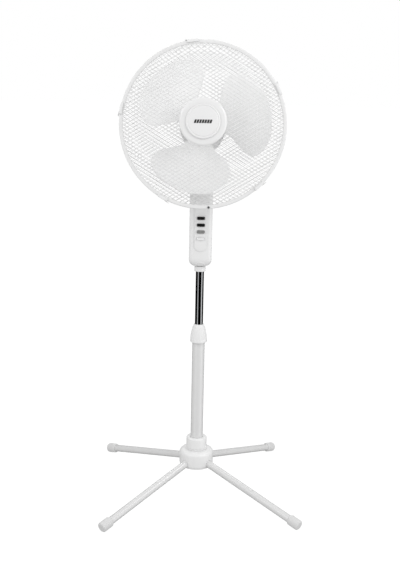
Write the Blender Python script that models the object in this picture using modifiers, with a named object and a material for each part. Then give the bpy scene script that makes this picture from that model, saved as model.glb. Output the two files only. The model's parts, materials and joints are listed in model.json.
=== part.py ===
"""A pedestal fan with a cross base, a telescopic pole, a push-button column and a tilting, swinging head.

Metres. The fan stands on z = 0 with its pole on the Z axis and blows towards -Y.
Three empties carry the head: "tilt_pivot" (X axis), "swivel_axis" (Z axis) and "motor_axis". In the frame of
"motor_axis", X is to the right, Y is up and Z points out of the front of the fan.
"""

import math

import bmesh
import bpy
from mathutils import Matrix, Vector

GAP = 0.0003  # what touching pieces keep between them

# Cross base
LEG_ANGLES = (-41.5, 48.5, 138.5, 228.5)  # degrees about the pole
LEG_REACH = 0.3505  # pole axis to the middle of a foot cap
LEG_RISE = 0.096  # height at which the leg axes meet the pole axis
FOOT_HEIGHT = 0.0145  # height of a leg's axis at the middle of its cap
LEG_RADIUS = 0.010
LEG_START = 0.026  # where a leg tube begins, from the pole axis
CAP_RADIUS = 0.0137
HUB_RADIUS = 0.048
HUB_TOP = 0.1205
HUB_BOTTOM = 0.070
HUB_FLOOR = 0.0795
HUB_ROUND = 0.010
COLLAR_FOOT = HUB_TOP + GAP
BOLT_RADIUS = 0.0028
BOLT_HOLE = BOLT_RADIUS + GAP
BOLT_HEAD = 0.006

# Pole
OUTER_RADIUS = 0.01725
OUTER_TOP = 0.447
TUBE_WALL = 0.0012
INNER_RADIUS = 0.0113
INNER_BOTTOM = 0.270
INNER_TOP = 0.700
HEIGHT_COLLAR_TOP = 0.491
HEIGHT_COLLAR_BOTTOM = 0.440
NECK_COLLAR_RADIUS = 0.0155

# Control column
COLUMN_WIDTH = 0.0615
COLUMN_FRONT = -0.034
COLUMN_BACK = 0.030
COLUMN_BOTTOM = 0.657
COLUMN_TOP = 0.8732
COLUMN_WALL = 0.0022
COLUMN_EDGE = 0.010  # radius of the upright edges
COLUMN_ROUNDS = {"side": 0.020, "front": 0.026, "back": 0.010, "top": 0.006}  # radii at the two ends
GLAND_HEIGHT = 0.705
COLUMN_SCREW_HEIGHT = 0.676
BUTTON_HEIGHTS = {"button_off": 0.793, "button_low": 0.7745, "button_medium": 0.756, "button_high": 0.7375}
BUTTON_WIDTH = 0.021
BUTTON_TALL = 0.008
BUTTON_FACE = -0.0405
BUTTON_BACK = -0.024
PANEL_BACK = COLUMN_FRONT - GAP
PANEL_THICK = 0.002

# Neck and swivel, heights above the tilt pivot
PIVOT_HEIGHT = 0.896
REST_TILT = math.radians(9.0)
EAR_RADIUS = 0.018
YOKE_HALF = 0.0297
YOKE_SLOT = 0.0217
KNUCKLE_TOP = 0.031
POST_RADIUS = 0.0048
POST_HOLE = POST_RADIUS + GAP
MOTOR_RISE = 0.130
SKIRT_BOTTOM = 0.0333
SKIRT_RADIUS = 0.0297
SKIRT_WALL = 0.0022
LINK_PIN = Vector((-0.019, 0.010))
SPINDLE = Vector((0.0145, 0.055))
CRANK_AXIS = Vector((-0.0065, 0.055))
CRANK_THROW = 0.0125
PIN_RADIUS = 0.002
SPINDLE_RADIUS = 0.0022
SPINDLE_HOLE = 0.0026
KNOB_LOW = 0.1935  # high enough to be pushed down by 5 mm
KNOB_STEM_LOW = 0.1465
BRACKET_LOW = 0.052
BRACKET_HIGH = 0.056

# Motor, distances along the shaft, forward positive
COVER_RADIUS = 0.058
COVER_WALL = 0.0025
COVER_FRONT = 0.029
COVER_REAR = -0.095
COVER_ROUND = 0.024
VENT_PITCH = 0.014
VENT_WIDTH = 0.004
SHAFT_FRONT = 0.120
SHAFT_RADIUS = 0.004
SHAFT_REAR_RADIUS = 0.003
BEARING_RADIUS = 0.008
BEARING_SEAT = BEARING_RADIUS + GAP
PINION_TEETH = 6
CRANK_TEETH = 36
WHEEL_TEETH = 30

# Guard and propeller
RING_RADIUS = 0.2145
RING_WIDTH = 0.007
MESH_RADIUS = 0.2085
REAR_RING = (0.097, 0.1047)
FRONT_RING = (0.1053, 0.113)
FRONT_SAG = 0.066
REAR_DEPTH = 0.0665
REAR_STEEPNESS = 3.2
REAR_PLATE_RADIUS = 0.060
SPIGOT_RADIUS = 0.0229  # the motor cover's neck, which the rear guard sits on
SPIGOT_HOLE = SPIGOT_RADIUS + GAP
MESH_ANGLE = math.radians(31)
MESH_PITCH = 0.054
WIRE = 0.0026
CLIP_ANGLES = (26, 98, 170, 242, 314)
CLIP_LENGTH = 0.029
SCREW_ANGLE = math.radians(275)
BLADE_RADIUS = 0.177
BLADE_ROOT = 0.028
BLADE_PLANE = 0.094
BLADE_LEAD = 0.032  # forward metres per radian of blade
BLADE_THICK = 0.0018
FIRST_BLADE = math.radians(16)

LOOKS = {
    "white_plastic": ((0.82, 0.82, 0.81), 0.38, 0.0),
    "white_steel": ((0.80, 0.80, 0.80), 0.30, 0.0),
    "mesh_white": ((0.80, 0.80, 0.80), 0.40, 0.0),
    "blade_white": ((0.78, 0.78, 0.78), 0.35, 0.0),
    "chrome": ((0.72, 0.73, 0.74), 0.08, 1.0),
    "panel_grey": ((0.70, 0.70, 0.70), 0.45, 0.0),
    "button_black": ((0.02, 0.02, 0.02), 0.40, 0.0),
    "button_grey": ((0.33, 0.33, 0.33), 0.40, 0.0),
    "button_white": ((0.78, 0.78, 0.78), 0.40, 0.0),
    "zinc_steel": ((0.60, 0.61, 0.62), 0.35, 1.0),
    "die_cast": ((0.55, 0.56, 0.57), 0.50, 1.0),
    "core_steel": ((0.30, 0.31, 0.33), 0.45, 1.0),
    "copper": ((0.72, 0.38, 0.22), 0.35, 1.0),
    "bronze": ((0.62, 0.45, 0.25), 0.40, 1.0),
    "nylon": ((0.76, 0.75, 0.70), 0.50, 0.0),
    "black_plastic": ((0.03, 0.03, 0.03), 0.50, 0.0),
    "grey_rubber": ((0.55, 0.55, 0.55), 0.80, 0.0),
}


# ---------------------------------------------------------------- scene and placing


def clear_scene():
    for old in list(bpy.data.objects):
        bpy.data.objects.remove(old, do_unlink=True)


def new_collection(name, hidden=False):
    collection = bpy.data.collections.new(name)
    collection.hide_render = hidden
    bpy.context.scene.collection.children.link(collection)
    return collection


clear_scene()
PARTS = new_collection("pedestal_fan")
TOOLS = new_collection("cutters", hidden=True)


def material(look):
    found = bpy.data.materials.get(look)
    if found:
        return found
    color, roughness, metallic = LOOKS[look]
    made = bpy.data.materials.new(look)
    made.use_nodes = True
    shader = made.node_tree.nodes["Principled BSDF"]
    shader.inputs["Base Color"].default_value = (*color, 1.0)
    shader.inputs["Roughness"].default_value = roughness
    shader.inputs["Metallic"].default_value = metallic
    made.diffuse_color = (*color, 1.0)
    return made


def empty(name, parent=None, location=(0, 0, 0), rotation=(0, 0, 0)):
    frame = bpy.data.objects.new(name, None)
    frame.empty_display_size = 0.03
    PARTS.objects.link(frame)
    frame.parent = parent
    frame.location = location
    frame.rotation_euler = rotation
    return frame


def place(name, data, look, parent=None, location=(0, 0, 0), rotation=(0, 0, 0)):
    """Adds an object. One with no look is a cutter or a piece to be joined, and isn't rendered."""
    made = bpy.data.objects.new(name, data)
    made.parent = parent
    made.location = location
    made.rotation_euler = rotation
    if look is None:
        TOOLS.objects.link(made)
        made.hide_render = True
        made.display_type = "WIRE"
    else:
        PARTS.objects.link(made)
        data.materials.append(material(look))
        if isinstance(data, bpy.types.Mesh):
            data.shade_smooth()
            data.set_sharp_from_angle(angle=math.radians(35))
    return made


# ---------------------------------------------------------------- shapes


def mesh_from(name, bm):
    mesh = bpy.data.meshes.new(name)
    bm.to_mesh(mesh)
    bm.free()
    return mesh


def box(name, low, high, look=None, **placing):
    """A box between two corners."""
    low, high = Vector(low), Vector(high)
    bm = bmesh.new()
    shape = Matrix.Translation((low + high) / 2) @ Matrix.Diagonal((*(high - low), 1.0))
    bmesh.ops.create_cube(bm, size=1.0, matrix=shape)
    return place(name, mesh_from(name, bm), look, **placing)


def rod(name, radius, start, end, look=None, at=(0, 0), segments=16, **placing):
    """A cylinder along local Z from start to end."""
    bm = bmesh.new()
    middle = Matrix.Translation((at[0], at[1], (start + end) / 2))
    bmesh.ops.create_cone(
        bm, cap_ends=True, segments=segments, radius1=radius, radius2=radius, depth=end - start, matrix=middle
    )
    return place(name, mesh_from(name, bm), look, **placing)


def turned(name, profile, look=None, steps=20, closed=True, **placing):
    """Turns (radius, height) points about local Z; the outer side runs from top to bottom."""
    mesh = bpy.data.meshes.new(name)
    count = len(profile)
    edges = [(i, i + 1) for i in range(count - 1)]
    if closed:
        edges.append((count - 1, 0))
    mesh.from_pydata([(radius, 0.0, height) for radius, height in profile], edges, [])
    made = place(name, mesh, look, **placing)
    screw = made.modifiers.new("turn", "SCREW")
    screw.angle = math.tau
    screw.steps = steps
    screw.render_steps = steps
    screw.use_merge_vertices = True
    screw.merge_threshold = 0.00001
    screw.use_smooth_shade = True
    return made


def arc(centre, radius, start, end, count=4):
    """Points on an arc, start and end in degrees."""
    steps = [math.radians(start + (end - start) * i / count) for i in range(count + 1)]
    return [(centre[0] + radius * math.cos(a), centre[1] + radius * math.sin(a)) for a in steps]


def circle(centre, radius, count=24):
    return arc(centre, radius, 0, 360 * (count - 1) / count, count - 1)


def stadium(near, far, radius, count=7):
    """A straight slot shape along Y, rounded about (0, near) and (0, far)."""
    return arc((0, near), radius, 180, 360, count) + arc((0, far), radius, 0, 180, count)


def gear_outline(teeth, tip, depth):
    """Points of a toothed wheel whose teeth are cut inwards from its tip circle."""
    points = []
    for i in range(teeth):
        for share, radius in ((0.0, tip - depth), (0.3, tip), (0.6, tip)):
            turn = math.tau * (i + share) / teeth
            points.append((radius * math.cos(turn), radius * math.sin(turn)))
    return points


def plate(name, outlines, start, end, look=None, **placing):
    """A flat outline with its holes, between two heights along local Z, as a mesh."""
    curve = bpy.data.curves.new(name, "CURVE")
    curve.dimensions = "2D"
    curve.fill_mode = "BOTH"
    curve.extrude = (end - start) / 2
    for outline in outlines:
        spline = curve.splines.new("POLY")
        spline.points.add(len(outline) - 1)
        spline.use_cyclic_u = True
        for point, (x, y) in zip(spline.points, outline):
            point.co = (x, y, 0.0, 1.0)
    source = bpy.data.objects.new(name + "_outline", curve)
    mesh = bpy.data.meshes.new_from_object(source)
    bpy.data.objects.remove(source)
    bpy.data.curves.remove(curve)
    bm = bmesh.new()
    bm.from_mesh(mesh)
    bpy.data.meshes.remove(mesh)
    bmesh.ops.remove_doubles(bm, verts=bm.verts, dist=0.000001)
    bmesh.ops.translate(bm, verts=bm.verts, vec=(0, 0, (start + end) / 2))
    bmesh.ops.recalc_face_normals(bm, faces=bm.faces)
    return place(name, mesh_from(name, bm), look, **placing)


def boolean(target, tool, operation="DIFFERENCE"):
    step = target.modifiers.new(tool.name, "BOOLEAN")
    step.operation = operation
    step.solver = "EXACT"
    step.object = tool
    return target


def cut(target, *tools):
    for tool in tools:
        boolean(target, tool)
    return target


def join(target, *tools):
    for tool in tools:
        boolean(target, tool, "UNION")
    return target


def soften(target, width, segments=2):
    bevel = target.modifiers.new("soft edges", "BEVEL")
    bevel.width = width
    bevel.segments = segments
    bevel.limit_method = "ANGLE"
    return target


def baked(target):
    """The object's evaluated mesh, in its own frame, and the object removed."""
    bpy.context.view_layer.update()
    depsgraph = bpy.context.evaluated_depsgraph_get()
    mesh = bpy.data.meshes.new_from_object(target.evaluated_get(depsgraph))
    bpy.data.objects.remove(target)
    return mesh


# ---------------------------------------------------------------- base


def leg_frames():
    """One empty at the hub for each leg, with local Z running out and down along the leg."""
    slope = math.atan2(LEG_RISE - FOOT_HEIGHT, LEG_REACH)
    frames = []
    for i, turn in enumerate(LEG_ANGLES):
        rotation = (0, math.pi / 2 + slope, math.radians(turn))
        frames.append(empty(f"leg_axis_{i + 1}", location=(0, 0, LEG_RISE), rotation=rotation))
    return frames


def make_hub(frames):
    socket = OUTER_RADIUS + GAP
    shoulder = HUB_RADIUS - HUB_ROUND
    hub = turned(
        "base_hub",
        [(socket, HUB_TOP), (shoulder, HUB_TOP)]
        + arc((shoulder, HUB_TOP - HUB_ROUND), HUB_ROUND, 75, 0, 3)
        + [(HUB_RADIUS, 0.080), (0.045, 0.0725), (0.040, HUB_BOTTOM), (BOLT_HOLE, HUB_BOTTOM)]
        + [(BOLT_HOLE, HUB_FLOOR), (socket, HUB_FLOOR)],
        "white_plastic",
        steps=24,
    )
    for i, frame in enumerate(frames):
        cut(hub, rod(f"leg_socket_{i + 1}", LEG_RADIUS + GAP, LEG_START - GAP, 0.060, parent=frame))


def make_leg(number, frame, floor):
    """One leg tube and the cap on its end, which has a small flat where it stands."""
    reach = math.hypot(LEG_REACH, LEG_RISE - FOOT_HEIGHT)
    tube_end = reach + 0.010
    cap_end = reach + 0.018
    cap_start = reach - 0.016
    nose = 0.005
    inside = LEG_RADIUS - TUBE_WALL
    turned(
        f"leg_{number}",
        [(inside, tube_end), (LEG_RADIUS, tube_end), (LEG_RADIUS, LEG_START), (inside, LEG_START)],
        "white_steel",
        steps=14,
        parent=frame,
    )
    bore = LEG_RADIUS + GAP
    cap = turned(
        f"foot_cap_{number}",
        [(0.0, cap_end)]
        + arc((CAP_RADIUS - nose, cap_end - nose), nose, 90, 0, 2)
        + [(CAP_RADIUS, cap_start), (bore, cap_start), (bore, tube_end + GAP), (0.0, tube_end + GAP)],
        "white_plastic",
        steps=16,
        closed=False,
        parent=frame,
    )
    cut(cap, floor)


def make_base():
    frames = leg_frames()
    make_hub(frames)
    floor = box("floor_cut", (-0.5, -0.5, -0.05), (0.5, 0.5, 0.0))
    for i, frame in enumerate(frames):
        make_leg(i + 1, frame, floor)
    head_top = HUB_BOTTOM - GAP
    head_bottom = head_top - 0.004
    turned(
        "base_bolt",
        [(0.0, 0.0875), (BOLT_RADIUS, 0.0875), (BOLT_RADIUS, head_top), (BOLT_HEAD, head_top)]
        + [(BOLT_HEAD, head_bottom), (0.0, head_bottom)],
        "zinc_steel",
        steps=12,
        closed=False,
    )
    socket = OUTER_RADIUS + GAP
    turned(
        "base_collar",
        [(socket, 0.157), (0.0272, 0.157), (0.0289, 0.1552), (0.0289, 0.1275), (0.0268, 0.1262)]
        + [(0.0268, COLLAR_FOOT), (socket, COLLAR_FOOT)],
        "white_plastic",
        steps=24,
    )


# ---------------------------------------------------------------- pole


def make_pole():
    inside = OUTER_RADIUS - TUBE_WALL
    tube_foot = HUB_FLOOR + GAP
    turned(
        "outer_tube",
        [(inside, OUTER_TOP), (OUTER_RADIUS, OUTER_TOP), (OUTER_RADIUS, tube_foot), (BOLT_HOLE, tube_foot)]
        + [(BOLT_HOLE, tube_foot + 0.003), (inside, tube_foot + 0.003)],
        "white_steel",
    )
    turned(
        "inner_tube",
        [(INNER_RADIUS - TUBE_WALL, INNER_TOP), (INNER_RADIUS, INNER_TOP), (INNER_RADIUS, INNER_BOTTOM)]
        + [(INNER_RADIUS - TUBE_WALL, INNER_BOTTOM)],
        "chrome",
    )
    grip = INNER_RADIUS + GAP
    turned(
        "tube_guide",
        [(grip, 0.292), (inside - GAP, 0.292), (inside - GAP, 0.272), (grip, 0.272)],
        "nylon",
        steps=16,
    )
    bush = turned(
        "clamp_bush",
        [(grip, 0.478), (0.0136, 0.478), (0.0160, OUTER_TOP + 0.004), (0.0171, OUTER_TOP + 0.0023)]
        + [(0.0171, OUTER_TOP + GAP), (inside - GAP, OUTER_TOP + GAP), (inside - GAP, 0.415), (grip, 0.415)],
        "nylon",
        steps=16,
    )
    cut(bush, box("bush_slit", (-0.001, 0.0, 0.440), (0.001, 0.03, 0.490)))
    sleeve = OUTER_RADIUS + GAP
    turned(
        "height_collar",
        [(grip, HEIGHT_COLLAR_TOP), (0.0134, HEIGHT_COLLAR_TOP), (0.0154, 0.4868), (0.0178, 0.4807)]
        + [(0.0197, 0.4735), (0.0213, 0.4661), (0.0226, 0.4574), (0.0235, 0.4490), (0.0236, 0.4425)]
        + [(0.0222, HEIGHT_COLLAR_BOTTOM), (sleeve, HEIGHT_COLLAR_BOTTOM), (sleeve, 0.4520)]
        + [(0.0142, 0.4785), (0.0142, 0.4810), (grip, 0.4830)],
        "white_plastic",
    )
    neck_top = COLUMN_BOTTOM - GAP
    turned(
        "neck_collar",
        [(grip, neck_top), (NECK_COLLAR_RADIUS, neck_top), (NECK_COLLAR_RADIUS, 0.6440), (0.0142, 0.642)]
        + [(grip, 0.642)],
        "white_plastic",
        steps=24,
    )


# ---------------------------------------------------------------- control column


def rounding(radius, depth):
    """How far a rounded edge stands back at a depth below its end face."""
    short = min(max(radius - depth, 0.0), radius)
    return radius - math.sqrt(radius**2 - short**2)


def column_ring(height, inset):
    """The column's outline at a height, as points round a rectangle with round corners."""
    above = height - COLUMN_BOTTOM - inset
    below = COLUMN_TOP - inset - height
    radii = {key: radius - inset for key, radius in COLUMN_ROUNDS.items()}
    top = rounding(radii["top"], below)
    half = COLUMN_WIDTH / 2 - inset - max(rounding(radii["side"], above), top)
    front = COLUMN_FRONT + inset + max(rounding(radii["front"], above), top)
    back = COLUMN_BACK - inset - max(rounding(radii["back"], above), top)
    edge = COLUMN_EDGE - inset
    points = []
    for x, y, start in ((half, back, 0), (-half, back, 90), (-half, front, 180), (half, front, 270)):
        centre = (x - math.copysign(edge, x), y - math.copysign(edge, y))
        points += arc(centre, edge, start, start + 90, 3)
    return [(x, y, height) for x, y in points]


def column_block(name, inset, look=None):
    """The column's rounded block, smaller by the inset on every side."""
    bottom, top = COLUMN_BOTTOM + inset, COLUMN_TOP - inset
    edge = COLUMN_ROUNDS["top"] - inset
    heights = [bottom + rise for rise in (0.0, 0.0012, 0.0045, 0.010, 0.017, 0.026)]
    heights += [top - edge, top - 0.3 * edge, top]
    bm = bmesh.new()
    rings = [[bm.verts.new(point) for point in column_ring(height, inset)] for height in heights]
    for lower, upper in zip(rings, rings[1:]):
        for i, vert in enumerate(lower):
            bm.faces.new((lower[i - 1], vert, upper[i], upper[i - 1]))
    bm.faces.new(rings[0][::-1])
    bm.faces.new(rings[-1])
    bmesh.ops.recalc_face_normals(bm, faces=bm.faces)
    return place(name, mesh_from(name, bm), look)


def make_housings():
    tube_hole = rod("tube_hole", INNER_RADIUS + GAP, 0.65, 0.68, segments=28)
    front = column_block("control_housing_front", 0.0, "white_plastic")
    hollow = column_block("column_hollow", COLUMN_WALL)
    rear_half = box("rear_half", (-0.05, -GAP / 2, 0.6), (0.05, 0.05, 0.9))
    window = box("button_window", (-0.0125, -0.05, 0.729), (0.0125, -0.028, 0.8015))
    cut(front, hollow, rear_half, tube_hole, window)
    rear = column_block("control_housing_rear", 0.0, "white_plastic")
    front_half = box("front_half", (-0.05, -0.05, 0.6), (0.05, GAP / 2, 0.9))
    out = (-math.pi / 2, 0, 0)
    gland_hole = rod("gland_hole", 0.0065, 0.02, 0.04, location=(0, 0, GLAND_HEIGHT), rotation=out)
    screw_hole = rod("screw_hole", 0.0027, 0.02, 0.04, location=(0, 0, COLUMN_SCREW_HEIGHT), rotation=out)
    cut(rear, hollow, front_half, tube_hole, gland_hole, screw_hole)
    turned(
        "cord_gland",
        [(0.0034, 0.0345), (0.0065, 0.0345), (0.009, 0.0325), (0.009, COLUMN_BACK + GAP)]
        + [(0.0062, COLUMN_BACK + GAP), (0.0062, 0.0275), (0.0078, 0.0270), (0.0078, 0.0245)]
        + [(0.0034, 0.0245)],
        "grey_rubber",
        steps=14,
        location=(0, 0, GLAND_HEIGHT),
        rotation=out,
    )
    turned(
        "column_screw",
        [(0.0, 0.0365), (0.006, 0.0365), (0.007, 0.0355), (0.007, COLUMN_BACK + GAP)]
        + [(0.0024, COLUMN_BACK + GAP), (0.0024, INNER_RADIUS + GAP), (0.0, INNER_RADIUS + GAP)],
        "white_plastic",
        steps=12,
        closed=False,
        location=(0, 0, COLUMN_SCREW_HEIGHT),
        rotation=out,
    )


def make_buttons():
    low_end, high_end, half = 0.7192, 0.834, 0.0166
    outline = arc((0, low_end), half, 180, 360, 8) + arc((0, high_end), half, 0, 180, 8)
    slots = []
    half_wide = BUTTON_WIDTH / 2 + GAP
    half_tall = BUTTON_TALL / 2 + GAP
    for height in BUTTON_HEIGHTS.values():
        low, high = height - half_tall, height + half_tall
        slots.append([(-half_wide, low), (half_wide, low), (half_wide, high), (-half_wide, high)])
    plate(
        "control_panel",
        [outline] + slots,
        -PANEL_BACK,
        PANEL_THICK - PANEL_BACK,
        "panel_grey",
        rotation=(math.pi / 2, 0, 0),
    )
    looks = ("button_black", "button_black", "button_grey", "button_white")
    for (name, height), look in zip(BUTTON_HEIGHTS.items(), looks):
        low = (-BUTTON_WIDTH / 2, BUTTON_FACE, -BUTTON_TALL / 2)
        high = (BUTTON_WIDTH / 2, BUTTON_BACK, BUTTON_TALL / 2)
        soften(box(name, low, high, look, location=(0, 0, height)), 0.0008, 1)
    box("push_switch", (-0.0145, -0.0205, 0.726), (0.0145, -0.004, 0.8045), "black_plastic")


# ---------------------------------------------------------------- neck


def make_yoke():
    on_x = (math.pi / 2, 0, math.pi / 2)
    foot = COLUMN_TOP + GAP - PIVOT_HEIGHT
    side = [(-EAR_RADIUS, foot), (EAR_RADIUS, foot)] + arc((0, 0), EAR_RADIUS, 0, 180, 12)
    bolt_hole = circle((0, 0), BOLT_HOLE, 16)
    yoke = plate("tilt_yoke", [side, bolt_hole], -YOKE_HALF, YOKE_HALF, "white_plastic", rotation=on_x)
    yoke.location.z = PIVOT_HEIGHT
    slot = box("yoke_slot", (-YOKE_SLOT, -0.03, 0.8815), (YOKE_SLOT, 0.03, 0.93))
    cut(yoke, slot)
    head = -YOKE_HALF - GAP
    turned(
        "tilt_bolt",
        [(0.0, YOKE_HALF), (BOLT_RADIUS, YOKE_HALF), (BOLT_RADIUS, head), (BOLT_HEAD, head)]
        + [(0.0055, head - 0.0027), (0.0, head - 0.0035)],
        "zinc_steel",
        steps=12,
        closed=False,
        location=(0, 0, PIVOT_HEIGHT),
        rotation=on_x,
    )


def make_knuckle(tilt):
    on_x = (math.pi / 2, 0, math.pi / 2)
    radius = 0.0135
    side = arc((0, 0), radius, 180, 360, 10) + [(radius, 0.0262), (-radius, 0.0262)]
    bolt_hole = circle((0, 0), BOLT_HOLE, 16)
    half = YOKE_SLOT - 0.0005
    outlines = [side, bolt_hole]
    knuckle = plate("tilt_knuckle", outlines, -half, half, "white_plastic", parent=tilt, rotation=on_x)
    disc = rod("knuckle_disc", 0.0255, 0.0242, KNUCKLE_TOP, segments=34, parent=tilt)
    lug = rod("link_lug", PIN_RADIUS, 0.0275, 0.0405, at=LINK_PIN, segments=12, parent=tilt)
    bore = rod("post_bore", POST_HOLE, 0.0065, 0.04, segments=18, parent=tilt)
    join(knuckle, disc, lug)
    cut(knuckle, bore)
    turned(
        "swivel_post",
        [(0.0, 0.0593), (0.008, 0.0593), (0.008, BRACKET_HIGH + GAP), (POST_RADIUS, BRACKET_HIGH + GAP)]
        + [(POST_RADIUS, 0.0068), (0.0, 0.0068)],
        "zinc_steel",
        steps=20,
        closed=False,
        parent=tilt,
    )


def make_link(tilt):
    """The link from the neck's lug to the crank pin, which it stops just short of."""
    length = CRANK_AXIS.y - LINK_PIN.y
    link = stadium(0.0, length, 0.0042, 6)
    holes = [circle((0, along), PIN_RADIUS + GAP, 12) for along in (0.0, length)]
    pivot = empty("link_pivot", tilt, (LINK_PIN.x, LINK_PIN.y, 0))
    plate("crank_link", [link] + holes, 0.0365, 0.0385, "zinc_steel", parent=pivot)


def make_swivel_bracket(swivel):
    base = stadium(0.002, 0.046, 0.022)
    bracket = plate("swivel_bracket", [base], BRACKET_LOW, BRACKET_HIGH, "die_cast", parent=swivel)
    boss = rod("swivel_boss", 0.0115, 0.0315, 0.054, parent=swivel)
    front_post = box("front_upright", (-0.012, -0.0198, 0.054), (0.012, -0.010, 0.0846), parent=swivel)
    rear_post = box("rear_upright", (-0.012, 0.010, 0.054), (0.012, 0.020, 0.0846), parent=swivel)
    post_hole = rod("swivel_hole", POST_HOLE, 0.02, 0.06, parent=swivel)
    spindle_hole = rod("spindle_hole", SPINDLE_HOLE, 0.04, 0.06, at=SPINDLE, segments=12, parent=swivel)
    stub_hole = rod("stub_hole", 0.0033, 0.04, 0.06, at=CRANK_AXIS, segments=12, parent=swivel)
    join(bracket, boss, front_post, rear_post)
    cut(bracket, post_hole, spindle_hole, stub_hole)


# ---------------------------------------------------------------- oscillation drive


def make_gears(swivel):
    crank = empty("crank_axis", swivel, (*CRANK_AXIS, 0))
    tip = 0.018 - GAP / 2
    teeth = gear_outline(CRANK_TEETH, tip, 0.0009)
    gear = plate("crank_gear", [teeth], 0.0455, 0.0495, "nylon", parent=crank)
    stub = rod("crank_stub", 0.003, 0.048, 0.058, segments=12, parent=crank)
    pin = rod("crank_pin", PIN_RADIUS, 0.0390, 0.047, at=(-CRANK_THROW, 0), segments=12, parent=crank)
    join(gear, stub, pin)
    spindle = empty("spindle_axis", swivel, (*SPINDLE, 0))
    teeth = gear_outline(WHEEL_TEETH, 0.0092, 0.0007)
    wheel = plate("worm_wheel", [teeth], 0.1265, 0.1335, "nylon", parent=spindle)
    stem = rod("spindle_stem", SPINDLE_RADIUS, 0.0445, 0.139, segments=12, parent=spindle)
    teeth = gear_outline(PINION_TEETH, 0.003 - GAP / 2, 0.0006)
    pinion = plate("pinion", [teeth], 0.0450, 0.0505, parent=spindle)
    join(wheel, stem, pinion)
    knob_top = KNOB_LOW + 0.013
    turned(
        "oscillation_knob",
        [(0.0, knob_top), (0.0075, knob_top), (0.009, knob_top - 0.0015), (0.0085, KNOB_LOW)]
        + [(0.0028, KNOB_LOW), (0.0028, KNOB_STEM_LOW), (0.0, KNOB_STEM_LOW)],
        "white_plastic",
        steps=20,
        closed=False,
        parent=spindle,
    )


def make_gearbox(swivel, motor):
    case = turned(
        "gearbox_case",
        [(0.0425, -0.0035), (0.045, -0.0035), (0.045, -0.0275), (0.0125, -0.0275), (0.0125, -0.0375)]
        + [(0.0035, -0.0375), (0.0035, -0.0360), (BEARING_SEAT, -0.0360), (BEARING_SEAT, -0.0255)]
        + [(0.0425, -0.0255)],
        "die_cast",
        parent=motor,
    )
    shell = box("gearbox_shell", (-0.010, 0.0365, 0.113), (0.0275, 0.072, 0.147), parent=swivel)
    inside = box("gearbox_inside", (-0.0075, 0.0395, 0.116), (0.025, 0.0695, 0.150), parent=swivel)
    shaft_hole = rod("gearbox_shaft_hole", 0.0035, -0.045, -0.030, parent=motor)
    spindle_hole = rod("gearbox_hole", SPINDLE_HOLE, 0.10, 0.12, at=SPINDLE, segments=12, parent=swivel)
    join(case, shell)
    cut(case, inside, shaft_hole, spindle_hole)


# ---------------------------------------------------------------- motor


def make_covers(swivel, motor):
    inner = COVER_RADIUS - COVER_WALL
    centre = (COVER_RADIUS - COVER_ROUND, COVER_REAR + COVER_ROUND)
    rear = turned(
        "motor_rear_cover",
        [(0.0, COVER_FRONT), (COVER_RADIUS, COVER_FRONT)]
        + arc(centre, COVER_ROUND, 0, -90, 4)
        + [(0.0, COVER_REAR)],
        "white_plastic",
        steps=28,
        closed=False,
        parent=motor,
    )
    hollow = turned(
        "cover_hollow",
        [(0.0, COVER_FRONT + 0.01), (inner, COVER_FRONT + 0.01)]
        + arc(centre, COVER_ROUND - COVER_WALL, 0, -90, 3)
        + [(0.0, COVER_REAR + COVER_WALL)],
        steps=28,
        closed=False,
        parent=motor,
    )
    outline = stadium(0.001, 0.051, SKIRT_RADIUS)
    inline = stadium(0.001, 0.051, SKIRT_RADIUS - SKIRT_WALL)
    skirt = plate("skirt", [outline], SKIRT_BOTTOM, 0.110, parent=swivel)
    inside = plate("skirt_inside", [inline], 0.02, 0.1105, parent=swivel)
    knob_hole = rod("knob_hole", 0.0032, 0.16, 0.20, at=SPINDLE, segments=12, parent=swivel)
    join(rear, skirt)
    cut(rear, hollow, inside, knob_hole)
    for i in range(5):
        across = (i - 2) * VENT_PITCH
        half = 0.024 - abs(i - 2) * 0.004
        low = (across - VENT_WIDTH / 2, -half, COVER_REAR - 0.01)
        high = (across + VENT_WIDTH / 2, half, COVER_REAR + 0.01)
        cut(rear, box(f"vent_{i + 1}", low, high, parent=motor))
    lid_back = COVER_FRONT + GAP
    turned(
        "motor_front_cover",
        [(0.0062, 0.047), (SPIGOT_RADIUS, 0.047), (SPIGOT_RADIUS, 0.0317), (0.056, 0.0317)]
        + [(COVER_RADIUS, 0.0305), (COVER_RADIUS, lid_back), (0.055, lid_back), (0.055, 0.025)]
        + [(0.053, 0.025), (0.053, lid_back), (0.019, lid_back), (0.019, 0.045), (0.0062, 0.045)],
        "white_plastic",
        steps=28,
        parent=motor,
    )


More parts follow.
